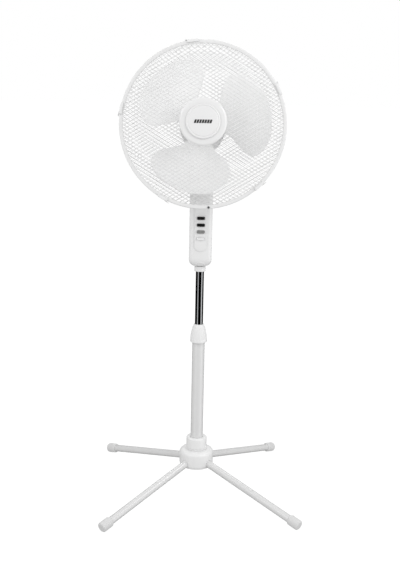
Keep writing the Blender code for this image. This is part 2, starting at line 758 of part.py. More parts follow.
def make_motor(motor):
    turned(
        "front_bracket",
        [(BEARING_SEAT, 0.0257), (0.011, 0.0257), (0.011, 0.0215), (0.045, 0.0215), (0.045, 0.0)]
        + [(0.0425, 0.0), (0.0425, 0.0195), (0.011, 0.0195), (0.011, 0.0183), (BEARING_SEAT, 0.0183)],
        "die_cast",
        parent=motor,
    )
    core = turned(
        "stator_core",
        [(0.0225, 0.015), (0.042, 0.015), (0.042, -0.021), (0.0225, -0.021)],
        "core_steel",
        parent=motor,
    )
    winding = turned(
        "stator_winding",
        [(0.0255, 0.019), (0.0335, 0.019), (0.0335, 0.0153), (0.0255, 0.0153)],
        "copper",
        steps=24,
        parent=motor,
    )
    join(
        winding,
        turned(
            "rear_coil",
            [(0.0255, -0.0213), (0.0335, -0.0213), (0.0335, -0.0250), (0.0255, -0.0250)],
            steps=24,
            parent=motor,
        ),
    )
    for i in range(4):
        placing = {"parent": motor, "rotation": (0, 0, i * math.pi / 2)}
        cut(core, box(f"core_slot_{i}", (0.0252, -0.0048, -0.03), (0.0338, 0.0048, 0.03), **placing))
        join(winding, box(f"coil_bar_{i}", (0.0262, -0.0042, -0.023), (0.0328, 0.0042, 0.017), **placing))
    turned(
        "rotor_core",
        [(SHAFT_RADIUS + GAP, 0.014), (0.022, 0.014), (0.022, -0.020), (SHAFT_RADIUS + GAP, -0.020)],
        "core_steel",
        parent=motor,
    )
    turned(
        "motor_shaft",
        [(0.0, SHAFT_FRONT), (0.0034, SHAFT_FRONT), (SHAFT_RADIUS, SHAFT_FRONT - 0.0008)]
        + [(SHAFT_RADIUS, -0.024), (SHAFT_REAR_RADIUS, -0.024), (SHAFT_REAR_RADIUS, -0.066), (0.0, -0.066)],
        "zinc_steel",
        steps=20,
        closed=False,
        parent=motor,
    )
    for name, radius, front, rear in (
        ("front_bearing", SHAFT_RADIUS, 0.0255, 0.0185),
        ("rear_bearing", SHAFT_REAR_RADIUS, -0.0285, -0.0355),
    ):
        turned(
            name,
            [(radius + GAP, front), (BEARING_RADIUS, front), (BEARING_RADIUS, rear), (radius + GAP, rear)],
            "bronze",
            steps=14,
            parent=motor,
        )
    bore = SHAFT_REAR_RADIUS + GAP
    turned(
        "worm",
        [(bore, -0.0465), (0.005, -0.0465), (0.005, -0.0635), (bore, -0.0635)],
        "zinc_steel",
        steps=14,
        parent=motor,
    )


# ---------------------------------------------------------------- guard


def front_height(radius):
    """Height of the front mesh, a shallow spherical cap."""
    ball = (MESH_RADIUS**2 + FRONT_SAG**2) / (2 * FRONT_SAG)
    return 0.110 + math.sqrt(ball**2 - radius**2) - (ball - FRONT_SAG)


def rear_height(radius):
    """Height of the rear mesh, a basket with a steep side and a flat back."""
    share = min(radius / MESH_RADIUS, 1.0)
    return 0.100 - REAR_DEPTH * math.sqrt(1 - share**REAR_STEEPNESS)


def mesh_sheet(name, height, hole, look, motor):
    """A disc cut into diamonds by two families of lines, domed, and turned into wires."""
    bm = bmesh.new()
    bmesh.ops.create_circle(bm, cap_ends=True, segments=40, radius=MESH_RADIUS)
    lines = int(MESH_RADIUS / MESH_PITCH)
    for side in (-1, 1):
        normal = Vector((-math.sin(side * MESH_ANGLE), math.cos(side * MESH_ANGLE), 0))
        for i in range(-lines, lines + 1):
            everything = bm.verts[:] + bm.edges[:] + bm.faces[:]
            line = normal * (i + 0.5) * MESH_PITCH
            bmesh.ops.bisect_plane(bm, geom=everything, plane_co=line, plane_no=normal)
    bmesh.ops.remove_doubles(bm, verts=bm.verts, dist=0.009)
    inside = [vert for vert in bm.verts if vert.co.length < hole]
    bmesh.ops.delete(bm, geom=inside, context="VERTS")
    for vert in bm.verts:
        vert.co.z = height(vert.co.length)
    made = place(name, mesh_from(name, bm), look, parent=motor)
    wires = made.modifiers.new("wires", "WIREFRAME")
    wires.thickness = WIRE
    wires.use_boundary = True
    wires.use_replace = True
    wires.use_even_offset = True
    return made


def ring(name, low, high, motor):
    inner = RING_RADIUS - RING_WIDTH
    edge = 0.0012
    profile = [(inner, high), (RING_RADIUS - edge, high), (RING_RADIUS, high - edge)]
    profile += [(RING_RADIUS, low + edge), (RING_RADIUS - edge, low), (inner, low)]
    return turned(name, profile, steps=40, parent=motor)


def make_guards(motor):
    screw_at = Vector((math.cos(SCREW_ANGLE), math.sin(SCREW_ANGLE))) * (RING_RADIUS - RING_WIDTH / 2)
    hole = rod("guard_screw_hole", 0.0017, 0.09, 0.12, at=screw_at, segments=10, parent=motor)
    front = mesh_sheet("front_guard", front_height, 0.0, "mesh_white", motor)
    join(front, ring("front_ring", *FRONT_RING, motor))
    cut(front, hole)
    rear = mesh_sheet("rear_guard", rear_height, 0.040, "mesh_white", motor)
    centre_plate = turned(
        "rear_centre_plate",
        [(SPIGOT_HOLE, 0.0345), (REAR_PLATE_RADIUS, 0.0345), (REAR_PLATE_RADIUS, 0.0320)]
        + [(SPIGOT_HOLE, 0.0320)],
        steps=24,
        parent=motor,
    )
    join(rear, ring("rear_ring", *REAR_RING, motor), centre_plate)
    cut(rear, hole)
    turned(
        "guard_screw",
        [(0.0, 0.1156), (0.0022, 0.1156), (0.003, 0.1148), (0.003, FRONT_RING[1] + GAP)]
        + [(0.0014, FRONT_RING[1] + GAP), (0.0014, 0.0955), (0.0, 0.0955)],
        "zinc_steel",
        steps=10,
        closed=False,
        parent=motor,
        location=(screw_at.x, screw_at.y, 0),
    )
    turned(
        "guard_nut",
        [(SPIGOT_HOLE, 0.045), (0.031, 0.045), (0.034, 0.042), (0.034, 0.0348), (SPIGOT_HOLE, 0.0348)],
        "white_plastic",
        parent=motor,
    )


def make_hub_plates(motor):
    behind = front_height(0.0) + WIRE / 2 + GAP
    turned(
        "guard_hub_plate",
        [(0.0, behind + 0.0030), (0.0560, behind + 0.0022), (0.0595, behind - 0.0010)]
        + [(0.0595, behind - 0.0034), (0.0580, behind - 0.0034), (0.0550, behind), (0.0, behind)],
        "white_plastic",
        steps=28,
        closed=False,
        parent=motor,
    )
    base = behind + 0.0030 + GAP
    turned(
        "guard_badge",
        [(0.0, base + 0.0042), (0.0360, base + 0.0034), (0.0385, base + 0.0026), (0.0400, base + 0.0034)]
        + [(0.0420, base + 0.0030), (0.0435, base + 0.0012), (0.0435, base), (0.0, base)],
        "white_plastic",
        steps=28,
        closed=False,
        parent=motor,
    )


def clip_mesh():
    """A C-shaped clip over both rings, with X outwards, Y along the rim, and Z forwards."""
    inner, grip, outer = -0.0060, -0.0005, 0.0028
    low, high = REAR_RING[0] - 0.0030, FRONT_RING[1] + 0.0030
    lip_low, lip_high = REAR_RING[0] - 0.0005, FRONT_RING[1] + 0.0005
    section = [(inner, low), (outer, low), (outer, high), (inner, high)]
    section += [(inner, lip_high), (grip, lip_high), (grip, lip_low), (inner, lip_low)]
    clip = plate("clip", [section], -CLIP_LENGTH, 0.0, "white_plastic", rotation=(math.pi / 2, 0, 0))
    lever = box("clip_lever", (0.0, CLIP_LENGTH - 0.006, 0.100), (0.0024, CLIP_LENGTH + 0.006, 0.110))
    lever.rotation_euler.z = math.radians(-5)
    join(clip, lever)
    bpy.context.view_layer.update()
    turn = clip.matrix_world.copy()
    mesh = baked(clip)
    mesh.transform(turn)
    bpy.data.objects.remove(lever)
    return mesh


def make_clips(motor):
    mesh = clip_mesh()
    for i, degrees in enumerate(CLIP_ANGLES):
        turn = Matrix.Rotation(math.radians(degrees), 3, "Z")
        at = turn @ Vector((RING_RADIUS + 0.0010, -CLIP_LENGTH / 2, 0))
        pivot = empty(f"clip_pivot_{i + 1}", motor, at, (0, 0, math.radians(degrees)))
        place(f"guard_clip_{i + 1}", mesh, "white_plastic", parent=pivot)


# ---------------------------------------------------------------- propeller


def between(points, at):
    """The value at a place along (place, value) points, with straight lines between them."""
    for (x0, y0), (x1, y1) in zip(points, points[1:]):
        if at <= x1:
            share = (at - x0) / (x1 - x0)
            return y0 + (y1 - y0) * share
    return points[-1][1]


LEADING_EDGE = ((0.0, -30), (0.36, -33), (0.58, -43), (0.79, -47), (0.90, -43), (0.96, -36), (1.0, -25))
TRAILING_EDGE = ((0.0, 36), (0.36, 39), (0.60, 47), (0.72, 47.5), (0.82, 44), (0.91, 36), (1.0, 19))


def blade(name, turn, motor):
    """One blade: a grid bent to its outline and twist, then given its thickness."""
    rows, columns = 7, 5
    bm = bmesh.new()
    bmesh.ops.create_grid(bm, x_segments=columns, y_segments=rows, size=1.0)
    for vert in bm.verts:
        across, out = (vert.co.x + 1) / 2, (vert.co.y + 1) / 2
        radius = BLADE_ROOT + (BLADE_RADIUS - BLADE_ROOT) * out
        share = radius / BLADE_RADIUS
        lead = between(LEADING_EDGE, share)
        trail = between(TRAILING_EDGE, share)
        angle = math.radians(lead + (trail - lead) * across)
        camber = 0.006 * (1 - (2 * across - 1) ** 2) * share
        vert.co = (
            radius * math.cos(turn + angle),
            radius * math.sin(turn + angle),
            BLADE_PLANE + BLADE_LEAD * angle + camber,
        )
    bmesh.ops.recalc_face_normals(bm, faces=bm.faces)
    made = place(name, mesh_from(name, bm), None, parent=motor)
    skin = made.modifiers.new("thickness", "SOLIDIFY")
    skin.thickness = BLADE_THICK
    skin.offset = 0.0
    return made


def make_propeller(motor):
    front, rear = BLADE_PLANE + 0.020, BLADE_PLANE - 0.024
    bore = SHAFT_RADIUS + GAP
    hub = turned(
        "propeller",
        [(bore, front), (0.018, front)]
        + arc((0.022, front - 0.010), 0.010, 70, 0, 3)
        + [(0.034, rear), (0.031, rear), (0.028, front - 0.012), (0.010, front - 0.012)]
        + [(0.010, rear + 0.004), (bore, rear + 0.004)],
        "blade_white",
        steps=24,
        parent=motor,
    )
    for i in range(3):
        join(hub, blade(f"blade_{i + 1}", FIRST_BLADE + i * math.tau / 3, motor))
    top = front + 0.0142
    pocket = SHAFT_FRONT + 0.001
    turned(
        "blade_nut",
        [(0.0, top), (0.010, top - 0.0007), (0.0155, top - 0.0037), (0.0165, top - 0.0077)]
        + [(0.0165, front + GAP), (bore, front + GAP), (bore, pocket), (0.0, pocket)],
        "blade_white",
        steps=20,
        closed=False,
        parent=motor,
    )


def main():
    make_base()
    make_pole()
    make_housings()
    make_buttons()
    tilt = empty("tilt_pivot", location=(0, 0, PIVOT_HEIGHT), rotation=(-REST_TILT, 0, 0))
    swivel = empty("swivel_axis", tilt)
    motor = empty("motor_axis", swivel, (0, 0, MOTOR_RISE), (math.pi / 2, 0, 0))
    make_yoke()
    make_knuckle(tilt)
    make_link(tilt)
    make_swivel_bracket(swivel)
    make_gears(swivel)
    make_gearbox(swivel, motor)
    make_covers(swivel, motor)
    make_motor(motor)
    make_guards(motor)
    make_hub_plates(motor)
    make_clips(motor)
    make_propeller(motor)


main()
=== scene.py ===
"""The look of a pedestal fan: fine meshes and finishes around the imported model, studio light and a camera.

Metres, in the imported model's frame: the pole is on Z, the floor is at z = 0, and the fan blows towards -Y.
Three frames of its own place the pieces: WORLD, HEAD (at the tilt pivot, Z along the swivel axis) and MOTOR
(on the shaft, X to the right, Y up, Z out of the front of the fan).
"""

import json
import math

import bmesh
import bpy
from mathutils import Matrix, Vector


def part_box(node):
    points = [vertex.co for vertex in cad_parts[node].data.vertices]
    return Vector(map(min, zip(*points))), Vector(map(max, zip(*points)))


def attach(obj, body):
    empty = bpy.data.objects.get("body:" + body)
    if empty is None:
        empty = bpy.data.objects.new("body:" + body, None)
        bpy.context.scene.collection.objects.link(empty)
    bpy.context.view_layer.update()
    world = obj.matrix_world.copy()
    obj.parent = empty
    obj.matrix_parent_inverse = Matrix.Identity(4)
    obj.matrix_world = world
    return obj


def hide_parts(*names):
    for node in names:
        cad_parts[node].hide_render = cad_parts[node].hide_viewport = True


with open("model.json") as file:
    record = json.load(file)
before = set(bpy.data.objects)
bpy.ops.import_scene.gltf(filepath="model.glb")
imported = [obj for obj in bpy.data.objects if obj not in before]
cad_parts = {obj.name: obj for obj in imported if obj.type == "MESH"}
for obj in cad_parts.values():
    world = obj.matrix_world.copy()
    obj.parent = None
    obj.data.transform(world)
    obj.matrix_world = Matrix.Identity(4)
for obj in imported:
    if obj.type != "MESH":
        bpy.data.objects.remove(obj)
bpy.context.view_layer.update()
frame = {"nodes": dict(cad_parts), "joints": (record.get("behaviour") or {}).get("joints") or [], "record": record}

GAP = 0.0003  # what touching pieces keep between them
ROUND_STEPS = 96  # sides of a turned piece
ARC_STEPS = 5  # points along a rounded corner
SHARP_ANGLE = math.radians(38)

# Camera
CAMERA_AT = Vector((-0.0043, -2.3389, 1.1334))
CAMERA_DOWN = math.radians(12.801)
CAMERA_TURN = math.radians(0.128)
CAMERA_ROLL = math.radians(1.168)
CAMERA_LENS = 54.84

# Base and pole
LEG_ANGLES = (-41.5, 48.5, 138.5, 228.5)  # degrees about the pole
LEG_REACH = 0.3505
LEG_RISE = 0.096
FOOT_HEIGHT = 0.0145
LEG_RADIUS = 0.010
LEG_START = 0.026
CAP_RADIUS = 0.0137
TUBE_WALL = 0.0012
BOLT_HOLE = 0.0031
HUB_FLOOR = 0.0795
OUTER_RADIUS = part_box("outer_tube")[1].x
INNER_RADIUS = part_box("inner_tube")[1].x

# Control column
COLUMN_LOW, COLUMN_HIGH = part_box("control_housing_front")
COLUMN_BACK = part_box("control_housing_rear")[1].y
COLUMN_WALL = 0.0022
COLUMN_EDGE = 0.010
COLUMN_ROUNDS = {"side": 0.020, "front": 0.026, "back": 0.010, "top": 0.006}
FRONT_CROWN = 0.0022  # how far the column's front falls back at its edges
BUTTONS = ("button_off", "button_low", "button_medium", "button_high")
BUTTON_WIDTH = 0.0202
BUTTON_TALL = 0.0074
BUTTON_WINDOW = ((-0.0125, -0.05, 0.729), (0.0125, -0.028, 0.8015))  # behind the panel

# Guard and propeller
FRONT_RING_WIDTH = 0.0100
REAR_RING_WIDTH = 0.0070
MESH_RADIUS = 0.2085
MESH_ANGLE = math.radians(31)
MESH_PITCH = 0.0085
WIRE_RADIUS = 0.0006
FRONT_MESH_EDGE = 0.110  # heights in the MOTOR frame where the meshes meet their rims
REAR_MESH_EDGE = 0.100
FRONT_HOLE = 0.050  # where the wires end under the middle plates
REAR_HOLE = 0.057
RIM_FRONT = 0.113  # where the front ring ends, and where the rear ring begins
RIM_JOINT = 0.097
FRONT_SAG = 0.066
REAR_DEPTH = 0.0665
REAR_STEEPNESS = 3.2
SPIGOT_HOLE = 0.0232
CLIP_ANGLES = (26, 98, 170, 242, 314)
CLIP_LENGTH = 0.029
BLADE_ROOT = 0.028
BLADE_TIP = 0.177
BLADE_COUNT = 3
BLADE_CAMBER = 0.006
SHAFT_BORE = 0.0043
BLADE_PLANE = 0.094
BLADE_LEAD = 0.032
BLADE_THICK = 0.0018
FIRST_BLADE = math.radians(16)
LEADING_EDGE = ((0.0, -30), (0.36, -33), (0.58, -43), (0.79, -47), (0.90, -43), (0.96, -36), (1.0, -25))
TRAILING_EDGE = ((0.0, 36), (0.36, 39), (0.60, 47), (0.72, 47.5), (0.82, 44), (0.91, 36), (1.0, 19))

# Room and light
FLOOR_RADIUS = 60.0
FLOOR_DROP = 0.0004  # keeps the floor clear of the feet
FLOOR_GLOW = 0.94  # the floor is as white as the room behind it
SKY = 0.71  # the even light of the room
# Softboxes: degrees from the front, distance, height of the middle, width, height of the box, radiance
SOFTBOXES = {
    "low_left": (-44, 2.4, 0.2, 1.1, 2.4, 0.70),
    "low_right": (64, 2.4, 0.2, 1.3, 2.4, 0.95),
    "low_back": (180, 2.4, 0.2, 1.0, 2.4, 0.60),
    "high_left": (-44, 2.9, 2.4, 1.4, 1.6, 2.2),
    "high_right": (44, 2.9, 2.4, 1.4, 1.6, 3.4),
    "side_left": (-84, 2.5, 2.8, 1.0, 0.6, 7.0),
    "side_right": (84, 2.5, 2.8, 1.0, 0.6, 8.0),
    "back": (180, 3.0, 2.9, 2.4, 0.5, 6.5),
}


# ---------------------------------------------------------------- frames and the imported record


def joint(name):
    return next(found for found in frame["joints"] if found["name"] == name)


def axes(x, y, z, at):
    """A frame from its three axes and its origin."""
    return Matrix.Translation(at) @ Matrix((x, y, z)).transposed().to_4x4()


RIGHT = Vector((1, 0, 0))
BACK = Vector(joint("fan_spin")["axis"])
UP = Vector(joint("swing")["axis"])
WORLD = Matrix.Identity(4)
HEAD = axes(RIGHT, BACK, UP, joint("tilt")["pos_m"])
MOTOR = axes(RIGHT, UP, -BACK, joint("fan_spin")["pos_m"])
ON_X = Matrix.Rotation(math.pi / 2, 4, "Z") @ Matrix.Rotation(math.pi / 2, 4, "X")
SLOTS = {part["node"]: part["material_slot"] for part in frame["record"]["subparts"]}
BODIES = {node: body for body, nodes in frame["record"]["behaviour"]["bodies"].items() for node in nodes}


def extent(node, space=WORLD):
    """Lowest and highest corners of a CAD node in one of the frames."""
    back = space.inverted()
    points = [back @ vert.co for vert in frame["nodes"][node].data.vertices]
    low = Vector([min(point[i] for point in points) for i in range(3)])
    high = Vector([max(point[i] for point in points) for i in range(3)])
    return low, high


# ---------------------------------------------------------------- finishes

# Light colour, the dark tone's share of it, lowest and highest roughness, metal, size and depth of the grain
FINISHES = {
    "white_plastic": ((0.80, 0.80, 0.80), 0.975, 0.31, 0.35, 0.0, 0.0011, 0.000008),
    "white_steel": ((0.71, 0.71, 0.71), 0.970, 0.29, 0.31, 0.0, 0.0026, 0.000008),
    "mesh_white": ((0.79, 0.79, 0.79), 0.960, 0.30, 0.42, 0.0, 0.0020, 0.000010),
    "blade_white": ((0.93, 0.93, 0.93), 0.980, 0.24, 0.34, 0.0, 0.0060, 0.000012),
    "cap_white": ((0.66, 0.66, 0.66), 0.950, 0.40, 0.52, 0.0, 0.0012, 0.000020),
    "chrome": ((0.56, 0.57, 0.58), 0.940, 0.05, 0.09, 1.0, 0.0008, 0.000003),
    "panel_grey": ((0.79, 0.79, 0.79), 0.970, 0.42, 0.52, 0.0, 0.0007, 0.000020),
    "button_black": ((0.006, 0.006, 0.006), 0.700, 0.38, 0.50, 0.0, 0.0006, 0.000015),
    "button_grey": ((0.24, 0.24, 0.235), 0.930, 0.40, 0.50, 0.0, 0.0006, 0.000015),
    "button_white": ((0.80, 0.80, 0.80), 0.970, 0.40, 0.50, 0.0, 0.0006, 0.000015),
    "zinc_steel": ((0.52, 0.53, 0.54), 0.850, 0.28, 0.45, 1.0, 0.0016, 0.000020),
    "die_cast": ((0.50, 0.51, 0.52), 0.800, 0.42, 0.60, 1.0, 0.0013, 0.000090),
    "core_steel": ((0.26, 0.27, 0.29), 0.550, 0.35, 0.55, 1.0, 0.0005, 0.000100),
    "copper": ((0.70, 0.34, 0.18), 0.500, 0.25, 0.40, 1.0, 0.0007, 0.000200),
    "bronze": ((0.60, 0.43, 0.24), 0.800, 0.35, 0.50, 1.0, 0.0004, 0.000030),
    "nylon": ((0.74, 0.73, 0.68), 0.950, 0.42, 0.55, 0.0, 0.0010, 0.000020),
    "black_plastic": ((0.018, 0.018, 0.018), 0.700, 0.40, 0.55, 0.0, 0.0008, 0.000020),
    "grey_rubber": ((0.50, 0.50, 0.50), 0.880, 0.70, 0.85, 0.0, 0.0009, 0.000060),
}
STRETCH = {
    "chrome": (1.0, 1.0, 0.02),  # drawn along the tube
    "core_steel": (0.02, 0.02, 1.0),  # stacked laminations
    "copper": (0.05, 0.05, 1.0),  # strands
    "zinc_steel": (1.0, 1.0, 0.2),
}
LACQUERED = ("white_steel",)  # under a clear coat
COAT_ROUGHNESS = 0.22
CLOUD_SIZE = 0.07  # the slow change of tone over a moulding


def noise(tree, size, stretch=(1, 1, 1), detail=2.0):
    """A noise value in the piece's own coordinates, with grains of a size in metres."""
    place = tree.nodes.new("ShaderNodeTexCoord")
    scale = tree.nodes.new("ShaderNodeMapping")
    scale.inputs["Scale"].default_value = stretch
    made = tree.nodes.new("ShaderNodeTexNoise")
    made.inputs["Scale"].default_value = 1 / size
    made.inputs["Detail"].default_value = detail
    tree.links.new(place.outputs["Object"], scale.inputs["Vector"])
    tree.links.new(scale.outputs["Vector"], made.inputs["Vector"])
    return made.outputs[0]


def spread(tree, value, low, high):
    """The middle of a noise value's range, mapped to another range."""
    made = tree.nodes.new("ShaderNodeMapRange")
    made.inputs["From Min"].default_value = 0.3
    made.inputs["From Max"].default_value = 0.7
    made.inputs["To Min"].default_value = low
    made.inputs["To Max"].default_value = high
    tree.links.new(value, made.inputs["Value"])
    return made.outputs["Result"]


def tones(tree, value, dark, light):
    made = tree.nodes.new("ShaderNodeValToRGB")
    first, last = made.color_ramp.elements
    first.position, first.color = 0.3, (*dark, 1.0)
    last.position, last.color = 0.7, (*light, 1.0)
    tree.links.new(value, made.inputs["Fac"])
    return made.outputs["Color"]


def finish_of(slot):
    """The node material of a slot, made once: grain in the surface and in its gloss, and slow changes of tone."""
    found = bpy.data.materials.get("look_" + slot)
    if found:
        return found
    light, share, smoothest, roughest, metal, grain, depth = FINISHES[slot]
    made = bpy.data.materials.new("look_" + slot)
    made.use_nodes = True
    tree = made.node_tree
    shader = tree.nodes["Principled BSDF"]
    shader.inputs["Metallic"].default_value = metal
    if slot in LACQUERED:
        shader.inputs["Coat Weight"].default_value = 1.0
        shader.inputs["Coat Roughness"].default_value = COAT_ROUGHNESS
    stretch = STRETCH.get(slot, (1, 1, 1))
    surface = noise(tree, grain, stretch)
    cloud = noise(tree, CLOUD_SIZE, detail=4.0) if slot not in STRETCH else surface
    dark = [share * value for value in light]
    tree.links.new(tones(tree, cloud, dark, light), shader.inputs["Base Color"])
    tree.links.new(spread(tree, surface, smoothest, roughest), shader.inputs["Roughness"])
    bump = tree.nodes.new("ShaderNodeBump")
    bump.inputs["Strength"].default_value = 1.0
    bump.inputs["Distance"].default_value = depth
    tree.links.new(surface, bump.inputs["Height"])
    tree.links.new(bump.outputs["Normal"], shader.inputs["Normal"])
    return made


# ---------------------------------------------------------------- placing


def link(made):
    bpy.context.scene.collection.objects.link(made)
    return made


def add_piece(name, mesh, slot, body, space=WORLD, finish=None):
    """A visible piece with its finish, riding on a body."""
    made = link(bpy.data.objects.new(name, mesh))
    mesh.materials.clear()
    mesh.materials.append(finish_of(finish or slot))
    made.matrix_world = space
    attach(made, body)
    return made


def stand_in(node, mesh, space=WORLD, finish=None):
    """A fine piece shown in place of a CAD node, on the same body, finished as the node's material slot unless
    another finish is given.
    """
    made = add_piece(node + "_fine", mesh, SLOTS[node], BODIES[node], space, finish)
    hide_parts(node)
    return made


# ---------------------------------------------------------------- shapes


def smoothed(mesh):
    mesh.shade_smooth()
    mesh.set_sharp_from_angle(angle=SHARP_ANGLE)
    return mesh


def mesh_from(bm, recalculate=True):
    if recalculate:
        bmesh.ops.recalc_face_normals(bm, faces=bm.faces)
    mesh = bpy.data.meshes.new("mesh")
    bm.to_mesh(mesh)
    bm.free()
    return smoothed(mesh)


def moved(mesh, matrix):
    mesh.transform(matrix)
    return mesh


def arc(centre, radius, start, end, count=12):
    """Points on an arc, start and end in degrees."""
    steps = [math.radians(start + (end - start) * i / count) for i in range(count + 1)]
    return [(centre[0] + radius * math.cos(a), centre[1] + radius * math.sin(a)) for a in steps]


def circle(centre, radius, count=48):
    return arc(centre, radius, 0, 360 * (count - 1) / count, count - 1)


def stadium(near, far, radius, count=24):
    """A straight slot shape along Y, rounded about (0, near) and (0, far)."""
    return arc((0, near), radius, 180, 360, count) + arc((0, far), radius, 0, 180, count)


def rounded_box(half_wide, half_tall, radius, centre=(0, 0), count=6):
    """Points round a rectangle with round corners."""
    points = []
    for x, y, start in ((1, 1, 0), (-1, 1, 90), (-1, -1, 180), (1, -1, 270)):
        corner = (centre[0] + x * (half_wide - radius), centre[1] + y * (half_tall - radius))
        points += arc(corner, radius, start, start + 90, count)
    return points


def rounded(corners):
    """A closed outline of (x, y, rounding) corners, each turned into an arc."""
    points = []
    for i, corner in enumerate(corners):
        here = Vector(corner[:2])
        size = corner[2] if len(corner) > 2 else 0.0
        if not size:
            points.append(tuple(here))
            continue
        before = (Vector(corners[i - 1][:2]) - here).normalized()
        after = (Vector(corners[(i + 1) % len(corners)][:2]) - here).normalized()
        half = before.angle(after) / 2
        centre = here + (before + after).normalized() * size / math.sin(half)
        first = here + before * size / math.tan(half) - centre
        last = here + after * size / math.tan(half) - centre
        for step in range(ARC_STEPS + 1):
            points.append(tuple(centre + first.lerp(last, step / ARC_STEPS).normalized() * size))
    return points


def lathe(profile, steps=ROUND_STEPS, ripple=None):
    """Turns a closed (radius, height) outline about Z; ripple(turn, radius, height) is added to a radius."""
    bm = bmesh.new()
    rings = []
    for radius, height in profile:
        if radius < 1e-6:
            rings.append([bm.verts.new((0, 0, height))])
            continue
        ring = []
        for i in range(steps):
            turn = math.tau * i / steps
            out = radius + (ripple(turn, radius, height) if ripple else 0.0)
            ring.append(bm.verts.new((out * math.cos(turn), out * math.sin(turn), height)))
        rings.append(ring)
    for lower, upper in zip(rings, rings[1:] + rings[:1]):
        for i in range(steps):
            order = ((lower, 0), (lower, 1), (upper, 1), (upper, 0))
            corners = list(dict.fromkeys(ring[(i + turn) % len(ring)] for ring, turn in order))
            if len(corners) > 2:
                bm.faces.new(corners)
    return mesh_from(bm)


def loft(rings):
    """A skin over rings with equal numbers of points, closed at both ends."""
    bm = bmesh.new()
    rows = [[bm.verts.new(point) for point in ring] for ring in rings]
    for lower, upper in zip(rows, rows[1:]):
        for i, vert in enumerate(lower):
            bm.faces.new((lower[i - 1], vert, upper[i], upper[i - 1]))
    bm.faces.new(rows[0][::-1])
    bm.faces.new(rows[-1])
    return mesh_from(bm)


def curve_mesh(curve):
    source = bpy.data.objects.new("source", curve)
    mesh = bpy.data.meshes.new_from_object(source)
    bpy.data.objects.remove(source)
    bpy.data.curves.remove(curve)
    bm = bmesh.new()
    bm.from_mesh(mesh)
    bpy.data.meshes.remove(mesh)
    bmesh.ops.remove_doubles(bm, verts=bm.verts, dist=0.000001)
    return bm


def slab(outlines, low, high, edge=0.0):
    """A flat outline with its holes between two heights along Z, its edges rounded."""
    curve = bpy.data.curves.new("outline", "CURVE")
    curve.dimensions = "2D"
    curve.fill_mode = "BOTH"
    curve.extrude = (high - low) / 2 - edge
    curve.bevel_depth = edge
    curve.offset = -edge
    curve.bevel_resolution = 3
    for outline in outlines:
        spline = curve.splines.new("POLY")
        spline.points.add(len(outline) - 1)
        spline.use_cyclic_u = True
        for point, (x, y) in zip(spline.points, outline):
            point.co = (x, y, 0.0, 1.0)
    bm = curve_mesh(curve)
    bmesh.ops.translate(bm, verts=bm.verts, vec=(0, 0, (low + high) / 2))
    return mesh_from(bm)


def tube(points, radius, sides=1):
    """A round wire through points, as a mesh."""
    curve = bpy.data.curves.new("wire", "CURVE")
    curve.dimensions = "3D"
    curve.bevel_depth = radius
    curve.bevel_resolution = sides
    curve.use_fill_caps = True
    for line in points:
        spline = curve.splines.new("POLY")
        spline.points.add(len(line) - 1)
        for point, place in zip(spline.points, line):
            point.co = (*place, 1.0)
    return mesh_from(curve_mesh(curve))


def rod(radius, low, high, at=(0, 0), steps=48):
    shape = lathe([(0.0, high), (radius, high), (radius, low), (0.0, low)], steps)
    return moved(shape, Matrix.Translation((at[0], at[1], 0)))


def block(low, high):
    """A plain box, used as a cutter."""
    low, high = Vector(low), Vector(high)
    bm = bmesh.new()
    shape = Matrix.Translation((low + high) / 2) @ Matrix.Diagonal((*(high - low), 1.0))
    bmesh.ops.create_cube(bm, size=1.0, matrix=shape)
    return mesh_from(bm)


def combined(mesh, tools, operation):
    """A mesh with tools cut from it or joined to it."""
    target = link(bpy.data.objects.new("target", mesh))
    others = [link(bpy.data.objects.new("tool", tool)) for tool in tools]
    for other in others:
        step = target.modifiers.new("step", "BOOLEAN")
        step.operation = operation
        step.solver = "EXACT"
        step.object = other
    bpy.context.view_layer.update()
    depsgraph = bpy.context.evaluated_depsgraph_get()
    result = bpy.data.meshes.new_from_object(target.evaluated_get(depsgraph))
    for used in [target] + others:
        bpy.data.objects.remove(used)
    return smoothed(result)


def cut(mesh, *tools):
    return combined(mesh, tools, "DIFFERENCE")


def joined(mesh, *tools):
    return combined(mesh, tools, "UNION")


def merged(*meshes):
    """Several meshes as one, without joining their surfaces."""
    bm = bmesh.new()
    for mesh in meshes:
        bm.from_mesh(mesh)
    return mesh_from(bm, recalculate=False)


# ---------------------------------------------------------------- base


def leg_space(turn):
    """A leg's frame, with Z running out and down along the leg."""
    slope = math.atan2(LEG_RISE - FOOT_HEIGHT, LEG_REACH)
    tip = Matrix.Rotation(math.pi / 2 + slope, 4, "Y")
    return Matrix.Translation((0, 0, LEG_RISE)) @ Matrix.Rotation(math.radians(turn), 4, "Z") @ tip


def make_hub():
    low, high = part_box("base_hub")
    radius = high.x
    socket = OUTER_RADIUS + GAP
    profile = [(socket, high.z), (radius, high.z, 0.0105), (radius, 0.080, 0.006), (0.045, 0.0725, 0.002)]
    profile += [(0.040, low.z, 0.001), (BOLT_HOLE, low.z), (BOLT_HOLE, HUB_FLOOR), (socket, HUB_FLOOR)]
    holes = [moved(rod(LEG_RADIUS + GAP, LEG_START, 0.060), leg_space(turn)) for turn in LEG_ANGLES]
    stand_in("base_hub", cut(lathe(rounded(profile)), *holes))


